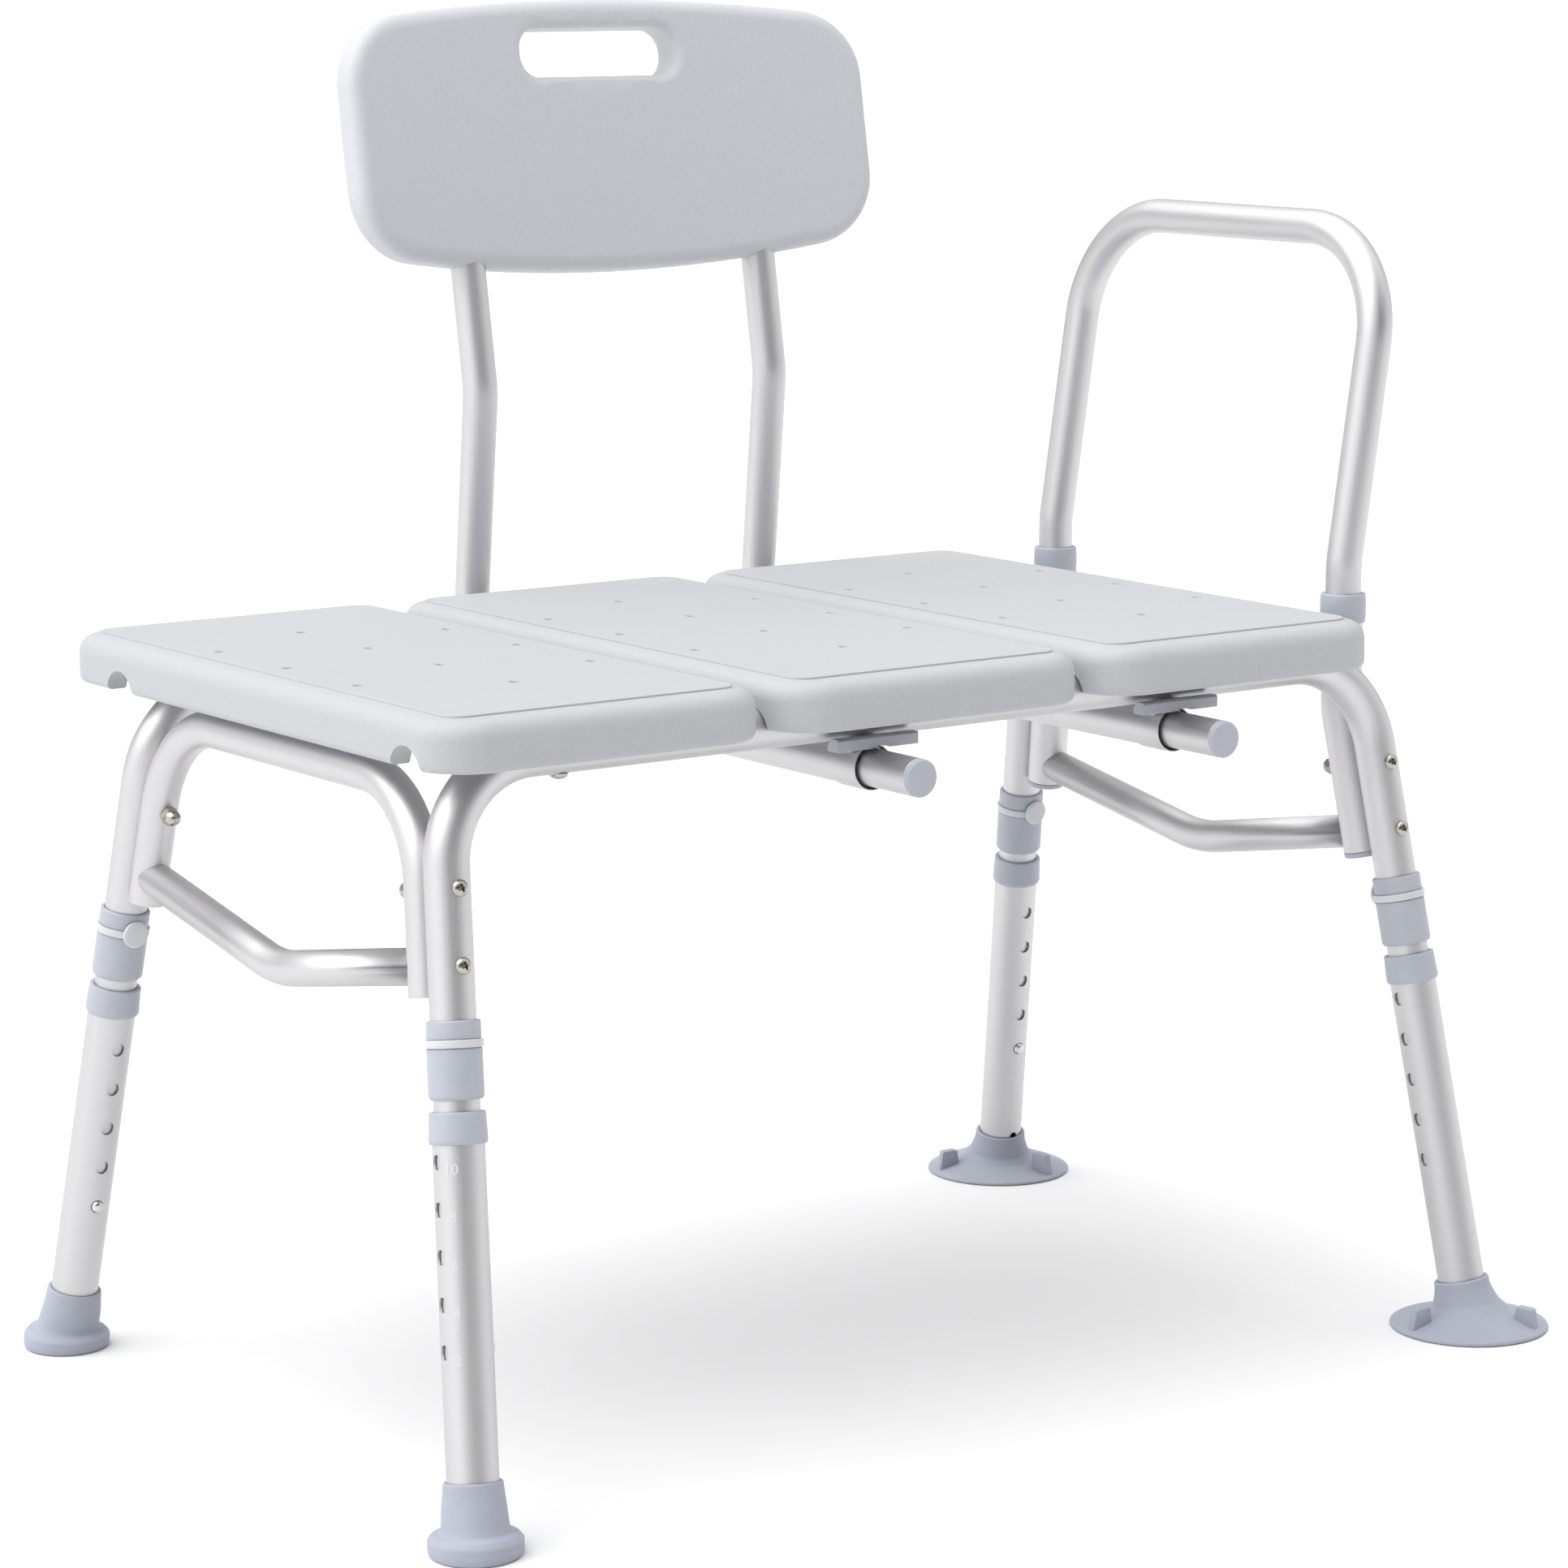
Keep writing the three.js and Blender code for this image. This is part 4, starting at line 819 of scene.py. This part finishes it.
def seat_panel(node, centre_x):
    """A moulded shell: rolled edge, raised field inside a step, drain holes, channels for the rails."""
    corner, edge, wall, end_wall = 32, 11, 4.5, 13
    column_pitch, row_pitch = 77, 78.8
    arch_half, arch_rise, arch_foot = 15.2, 13.6, 16.2
    border, field = SEAT_TOP - 1.3, SEAT_TOP

    def loop(side, front, z, radius):
        """Set in from the panel's ends by side and from its front and back by front."""
        outline = rounded_rectangle(PANEL_WIDTH - 2 * side, PANEL_DEPTH - 2 * front, radius)
        return [(centre_x + x, SEAT_Y + y, z) for x, y in outline]

    # Down the inside of the shell, before the loops of its outside.
    roof = SEAT_TOP - wall
    inside = ((16, roof, 12), (5, roof - 1.2, 22), (1, roof - 5, 26), (0, roof - 9, 27),
              (0, SKIRT_BOTTOM + 1.2, 27), (-1, SKIRT_BOTTOM, 28))
    loops = [loop(end_wall + inset, wall + inset, z, radius) for inset, z, radius in inside]
    for k in range(7):
        angle = math.pi / 2 * k / 6
        inset = 3.4 * (1 - math.sin(angle))
        loops.append(loop(inset, inset, SKIRT_BOTTOM + 4.4 * (1 - math.cos(angle)), corner - inset))
    for k in range(13):
        angle = math.pi / 2 * k / 12
        inset = edge * (1 - math.cos(angle))
        loops.append(loop(inset, inset, border - 0.5 - edge + edge * math.sin(angle), corner - inset))
    # The step up to the raised field, which is set in more from the front and back than from the ends.
    step = ((0, border), (0.35, border + 0.1), (0.5, field - 0.35), (0.9, field - 0.05), (1.6, field))
    for grow, z in step:
        loops.append(loop(13.4 + grow, 16.4 + grow, z, 12 - grow))
    made = loops_skin(node + "_detail", loops)
    cutters = []
    for column, rows in ((0, (-1.5, -0.5, 0.5, 1.5)), (-1, (-1, 0, 1)), (1, (-1, 0, 1))):
        for row in rows:
            x, y = centre_x + column * column_pitch, SEAT_Y + row * row_pitch
            base = Matrix.Translation((x, y, SEAT_TOP))
            profile = [(0, -12), (2.9, -12), (2.9, -1.2), (3.1, -0.5), (3.6, 0.0), (3.9, 0.6), (0, 0.6)]
            cutters.append(lathe("drain", profile, base, 28, loop=False))
    turns = [math.pi * k / 20 for k in range(21)]
    arch = [(arch_half * math.cos(a), arch_rise * math.sin(a)) for a in turns]
    arch = [(arch_foot, -14)] + arch + [(-arch_foot, -14)]
    for side in (-1, 1):
        for end in (-1, 1):
            x = centre_x + end * PANEL_WIDTH / 2 - 15
            place = Matrix(((0, 0, 1, x), (1, 0, 0, side * RAIL_Y), (0, 1, 0, RAIL_Z - 1), (0, 0, 0, 1)))
            cutters.append(extruded("arch", arch, 30, place))
    carve(made, *cutters)
    weigh_normals(smooth(made, 28))
    finish_piece(made, node, SEAT)


for i, name in enumerate(("left", "middle", "right")):
    seat_panel("seat_panel_" + name, SEAT_X + (i - 1) * PANEL_PITCH)

# Screws that hold the panels to the rails, from below; the left pair is 10 mm nearer the end.
for i in range(3):
    for side in (-1, 1):
        x = SEAT_X + (i - 1) * PANEL_PITCH + (-10 if i == 0 else 0)
        place = Matrix.Translation((x, side * RAIL_Y, RAIL_Z - FRAME_R + 0.3))
        place = place @ Matrix.Rotation(math.pi, 4, "X")
        name = "rail_screw_%s_%d" % ("front" if side < 0 else "rear", i + 1)
        head = smooth(joined(name, screw_head(place, 5.6, 3.4)), 30)
        add_detail(head, "frame", NICKEL)


# ---- Backrest ------------------------------------------------------------------------------------

def lean_back(z):
    return BACK_KINK_Y + BACK_LEAN * (z - BACK_KINK_Z)


TUBE_XS = {"left": BACKREST_X - TUBE_SPACING / 2, "right": BACKREST_X + TUBE_SPACING / 2}
for name, x in TUBE_XS.items():
    line = [Vector((x, TUBE_FRONT, SLEEVE_Z)), Vector((x, BACK_CORNER_Y, SLEEVE_Z)),
            Vector((x, BACK_KINK_Y, BACK_KINK_Z)), Vector((x, lean_back(BACK_TUBE_TOP), BACK_TUBE_TOP))]
    made = tube("backrest_tube_" + name + "_detail", line, [50, 60], SMALL_R, SMALL_BORE)
    finish_piece(made, "backrest_tube_" + name, METAL)
    # The plug in its front end.
    place = Matrix.Translation((x, TUBE_FRONT, SLEEVE_Z)) @ Matrix.Rotation(-math.pi / 2, 4, "X")
    profile = fillet([(0, -3.4), (9.9, -3.3), (11.0, -2.2), (11.0, -0.1), (9.2, -0.1), (9.2, 12), (0, 12)],
                     [0, 1.2, 0.5, 0.2, 0, 0.4, 0], loop=False, steps=5)
    made = lathe("backrest_tube_cap_" + name + "_detail", profile, place, 48, loop=False)
    finish_piece(smooth(made), "backrest_tube_cap_" + name, CAP)


def back_outline(width, height, bow, radius):
    """Bowed top and bottom edges, nearly straight sides and round corners, counter-clockwise."""
    edge_steps, corner_steps = 24, 12
    reach = width / 2 - radius

    def edge_height(x):
        return height / 2 - bow * (x / (width / 2)) ** 2

    tilt = math.atan(2 * bow * reach / (width / 2) ** 2)
    centre = (reach - radius * math.sin(tilt), edge_height(reach) - radius * math.cos(tilt))
    stops = [reach * (1 - 2 * k / edge_steps) for k in range(edge_steps + 1)]
    top = [(x, edge_height(x)) for x in stops]
    corner = [(centre[0] + radius * math.cos(a), centre[1] + radius * math.sin(a))
              for a in ((k / corner_steps) * (math.pi / 2 - tilt) for k in range(corner_steps))]
    upper = corner + top + [(-x, y) for x, y in reversed(corner)]
    return upper + [(-x, -y) for x, y in upper]


def backrest_panel():
    width, bottom, top, thick, bow, corner, edge, curve = 405, 640, 812.5, 28, 17, 46, 10, 18
    tilt = -math.atan(BACK_LEAN)
    height, centre_z = (top - bottom) / math.cos(tilt), (top + bottom) / 2
    # Local X is across, local Y is up the panel and local Z looks to the front.
    place = (Matrix.Translation((BACKREST_X, lean_back(centre_z), centre_z)) @ Matrix.Rotation(tilt, 4, "X")
             @ Matrix.Rotation(math.pi / 2, 4, "X"))

    def curved(x, y, z):
        """The panel is curved forward at its ends, and its middle passes through the two tubes."""
        return place @ Vector((x, y, z + curve * (x ** 2 - (TUBE_SPACING / 2) ** 2) / (width / 2) ** 2))

    def loop(inset, z):
        outline = back_outline(width - 2 * inset, height - 2 * inset, bow, corner - inset)
        return [curved(x, y, z) for x, y in outline]

    def face(z):
        """Loops closing in on the middle, so that the large faces follow the curve."""
        outline = back_outline(width - 2 * edge, height - 2 * edge, bow, corner - edge)
        return [[curved(x, y * share, z) for x, y in outline] for share in (0.8, 0.55, 0.3, 0.06)]

    loops = list(reversed(face(-thick / 2)))
    for k in range(9):
        angle = math.pi / 2 * k / 8
        loops.append(loop(edge * (1 - math.sin(angle)), -thick / 2 + edge * (1 - math.cos(angle))))
    for k in range(9):
        angle = math.pi / 2 * k / 8
        loops.append(loop(edge * (1 - math.cos(angle)), thick / 2 - edge + edge * math.sin(angle)))
    loops += face(thick / 2)
    made = loops_skin("backrest_panel_detail", loops)
    edit = bmesh.new()
    edit.from_mesh(made.data)
    bmesh.ops.triangulate(edit, faces=[f for f in edit.faces if len(f.verts) > 4])
    edit.to_mesh(made.data)
    edit.free()
    # The hand slot, with a rolled rim on both faces.
    slot_x, slot_y = -1.5, (778.5 - centre_z) / math.cos(tilt)
    slot_width, slot_height, slot_corner = 118, 31, 14
    rim, rim_steps = 7, 7
    shift = -curve * (TUBE_SPACING / width) ** 2
    profile = [(thick / 2 - rim * (1 - math.sin(a)), rim * (1 - math.cos(a)))
               for a in (math.pi / 2 * k / rim_steps for k in range(rim_steps + 1))]
    full = [(thick / 2 + 3, rim + 0.01)] + [(z, g) for z, g in reversed(profile)]
    full += [(-z, g) for z, g in profile] + [(-thick / 2 - 3, rim + 0.01)]
    slot_loops = []
    for z, grow in full:
        outline = rounded_rectangle(slot_width + 2 * grow, slot_height + 2 * grow, slot_corner + grow)
        slot_loops.append([place @ Vector((x + slot_x, y + slot_y, z + shift + curve * (x / width * 2) ** 2))
                           for x, y in reversed(outline)])
    cutter = loops_skin("slot", slot_loops)
    sockets = []
    for x in TUBE_XS.values():
        across = x - BACKREST_X
        low, high = place @ Vector((across, -height / 2 - 20, 0)), place @ Vector((across, 0, 0))
        sockets.append(cylinder(low, high, SMALL_R + 0.2, 48))
    carve(made, cutter, *sockets)
    weigh_normals(smooth(made, 35))
    finish_piece(made, "backrest_panel", BACK)


backrest_panel()


# ---- Sleeves and release levers ------------------------------------------------------------------

for name, x in TUBE_XS.items():
    place = Matrix.Translation((x, 0, SLEEVE_Z)) @ Matrix.Rotation(-math.pi / 2, 4, "X")
    thick, plain = FRAME_R + 0.9, FRAME_R
    front, shoulder = SLEEVE_FRONT, SLEEVE_FRONT + SLEEVE_THICK_END
    # Its mouth is bored out a little wider than the rest.
    mouth, bore = 12.9, 11.35
    profile = fillet([(mouth, front), (thick, front), (thick, shoulder - 1), (plain, shoulder),
                      (plain, SLEEVE_REAR), (bore, SLEEVE_REAR), (bore, front + 9), (mouth, front + 8)],
                     [0.2, 0.3, 0.4, 0.2, 0.4, 0.3, 0.2, 0.2], steps=3)
    channel = extruded("channel", [(-5.5, -30), (5.5, -30), (5.5, 30), (-5.5, 30)], 20,
                       Matrix.Translation((x, -RAIL_Y, LEAF_BOTTOM - 0.3)))
    body = carve(lathe("sleeve", profile, place, 56), channel)
    top = RAIL_Z - FRAME_R + 1.5
    pads = []
    for side, spans in ((-1, ((-12, -5.5), (5.5, 12))), (1, ((-12, 12),))):
        for left, right in spans:
            outline = [(left, -5.5), (right, -5.5), (right, 5.5), (left, 5.5)]
            pads.append(extruded("pad", outline, top - SLEEVE_Z - 9,
                                 Matrix.Translation((x, side * RAIL_Y, SLEEVE_Z + 9))))
    made = joined("backrest_sleeve_" + name + "_detail", body, *pads)
    finish_piece(smooth(made), "backrest_sleeve_" + name, METAL)

    # The sprung leaf with its pin and rivet.
    rear = LEVER_PIVOT_Y + 6
    outline = fillet([(-4.5, -176), (4.5, -176), (4.5, rear), (-4.5, rear)], [0.5, 0.5, 3, 3])
    leaf = extruded("leaf", outline, LEAF_TOP - LEAF_BOTTOM, Matrix.Translation((x, 0, LEAF_BOTTOM)))
    tip, root = SLEEVE_Z + SMALL_R + 0.3, LEAF_TOP - 0.3
    pin = cylinder(Vector((x, LEVER_PIN_Y, tip)), Vector((x, LEVER_PIN_Y, root)), 2.5, 28)
    rivet = lathe("rivet", [(0, 0), (3, 0), (2.8, 0.6), (2.0, 1.1), (0, 1.3)],
                  Matrix.Translation((x, LEVER_PIVOT_Y, LEAF_TOP - 0.05)), 28, loop=False)
    made = joined("release_leaf_" + name + "_detail", leaf, pin, rivet)
    finish_piece(smooth(made), "release_leaf_" + name, SPRING)

    # The finger bar, arched over the tube and reaching further to its left than to its right.
    section = fillet([(-181, 398.2), (-171.5, 398.2), (-171.5, 402), (-174.5, 405.5), (-180, 405.5),
                      (-181, 404.5)],
                     [0.8, 0.8, 0.8, 0.8, 0.8, 0.5], steps=3)
    left_reach, width = 31, 57
    place = Matrix(((0, 0, 1, x - left_reach), (1, 0, 0, 0), (0, 1, 0, 0), (0, 0, 0, 1)))
    bar = extruded("release_bar_" + name + "_detail", section, width, place)
    arch = cylinder(Vector((x, -190, SLEEVE_Z)), Vector((x, -160, SLEEVE_Z)), FRAME_R + 1.3, 48)
    carve(bar, arch)
    finish_piece(smooth(bar, 30), "release_bar_" + name, DARK)


# ---- Numerals beside the holes of the front left leg ---------------------------------------------

def numeral(text, height, turn):
    """A flat number laid round the leg tube, upright along the leg."""
    size, drop = 8.2, 4
    curve = bpy.data.curves.new("numeral", "FONT")
    curve.body = text
    curve.size = size
    curve.align_x = "CENTER"
    curve.align_y = "CENTER"
    curve.extrude = 0.05
    source = bpy.data.objects.new("numeral", curve)
    bpy.context.scene.collection.objects.link(source)
    graph = bpy.context.evaluated_depsgraph_get()
    mesh = bpy.data.meshes.new_from_object(source.evaluated_get(graph))
    bpy.data.objects.remove(source)
    edit = bmesh.new()
    edit.from_mesh(mesh)
    bmesh.ops.subdivide_edges(edit, edges=edit.edges[:], cuts=1)
    bmesh.ops.remove_doubles(edit, verts=edit.verts, dist=1e-5)
    for vertex in edit.verts:
        x, y, z = vertex.co
        angle = turn + x / LEG_R
        spoke = FL.side * math.cos(angle) + FL.back * math.sin(angle)
        vertex.co = (FL.at(height - drop + y) + spoke * (LEG_R + 0.06 + z) + ORIGIN) * 0.001
    edit.to_mesh(mesh)
    edit.free()
    made = bpy.data.objects.new("numeral_" + text, mesh)
    bpy.context.scene.collection.objects.link(made)
    add_detail(made, "leg_front_left", NUMERAL)


for i, text in enumerate(("2", "4", "6", "8", "10")):
    numeral(text, LOWEST_HOLE["front"] + i * HOLE_PITCH, math.radians(-140))


# ---- Stage, light and camera ---------------------------------------------------------------------

floor_mesh = bpy.data.meshes.new("floor")
floor_mesh.from_pydata([(-200, -60, 0), (200, -60, 0), (200, 400, 0), (-200, 400, 0)], [], [(0, 1, 2, 3)])
floor = bpy.data.objects.new("floor", floor_mesh)
bpy.context.scene.collection.objects.link(floor)
n = Nodes("floor")
n.feed(n.shader, "Base Color", n.tint(n.noise(n.add("ShaderNodeTexCoord").outputs["Object"], 3, 4.0),
                                      (0.80, 0.80, 0.80), (0.82, 0.82, 0.82)))
n.shader.inputs["Roughness"].default_value = 0.9
n.shader.inputs["Specular IOR Level"].default_value = 0.1
floor.data.materials.append(n.material)
floor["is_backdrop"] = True


def studio_world():
    """An even white room, dimmer in front of the seat and brighter at its left end."""
    world = bpy.data.worlds.new("studio")
    bpy.context.scene.world = world
    world.use_nodes = True
    tree = world.node_tree
    look = tree.nodes.new("ShaderNodeTexCoord").outputs["Generated"]
    level = 0.56
    lobes = (((-0.10, -0.98, 0.12), 0.1, 0.95, -0.52), ((-0.97, 0.15, 0.25), 0.45, 0.95, 0.78),
             ((0.85, -0.45, 0.15), 0.6, 0.98, 0.5), ((0, 0, 1), 0.3, 1.0, 0.9))
    for direction, start, end, amount in lobes:
        toward = tree.nodes.new("ShaderNodeVectorMath")
        toward.operation = "DOT_PRODUCT"
        tree.links.new(look, toward.inputs[0])
        toward.inputs[1].default_value = Vector(direction).normalized()
        lobe = tree.nodes.new("ShaderNodeMapRange")
        lobe.interpolation_type = "SMOOTHSTEP"
        for key, number in (("From Min", start), ("From Max", end), ("To Min", 0), ("To Max", amount)):
            lobe.inputs[key].default_value = number
        tree.links.new(toward.outputs["Value"], lobe.inputs["Value"])
        total = tree.nodes.new("ShaderNodeMath")
        tree.links.new(lobe.outputs["Result"], total.inputs[0])
        if isinstance(level, float):
            total.inputs[1].default_value = level
        else:
            tree.links.new(level, total.inputs[1])
        level = total.outputs[0]
    background = tree.nodes["Background"]
    background.inputs["Color"].default_value = (0.99, 0.99, 1.0, 1)
    tree.links.new(level, background.inputs["Strength"])


studio_world()
sun = bpy.data.lights.new("overhead", "SUN")
sun.energy, sun.angle = 2.0, math.radians(80)
overhead = bpy.data.objects.new("overhead", sun)
overhead.rotation_euler = Vector((0.42, -0.08, -0.9)).to_track_quat("-Z", "Y").to_euler()
bpy.context.scene.collection.objects.link(overhead)

camera = bpy.data.cameras.new("camera")
camera.lens = 109.508
camera.sensor_width = 36
camera.sensor_fit = "HORIZONTAL"
camera.shift_x, camera.shift_y = -0.01874, -0.00291
camera.clip_start, camera.clip_end = 0.1, 500
view = bpy.data.objects.new("camera", camera)
view.location = Vector((-1.645608, -2.323268, 0.850656)) + ORIGIN * 0.001
view.rotation_euler = Euler((math.radians(80.0059), math.radians(0.05637), math.radians(-35.8381)))
bpy.context.scene.collection.objects.link(view)
bpy.context.scene.camera = view
bpy.context.scene.view_settings.view_transform = "Standard"
bpy.context.scene.view_settings.look = "None"

low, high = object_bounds()
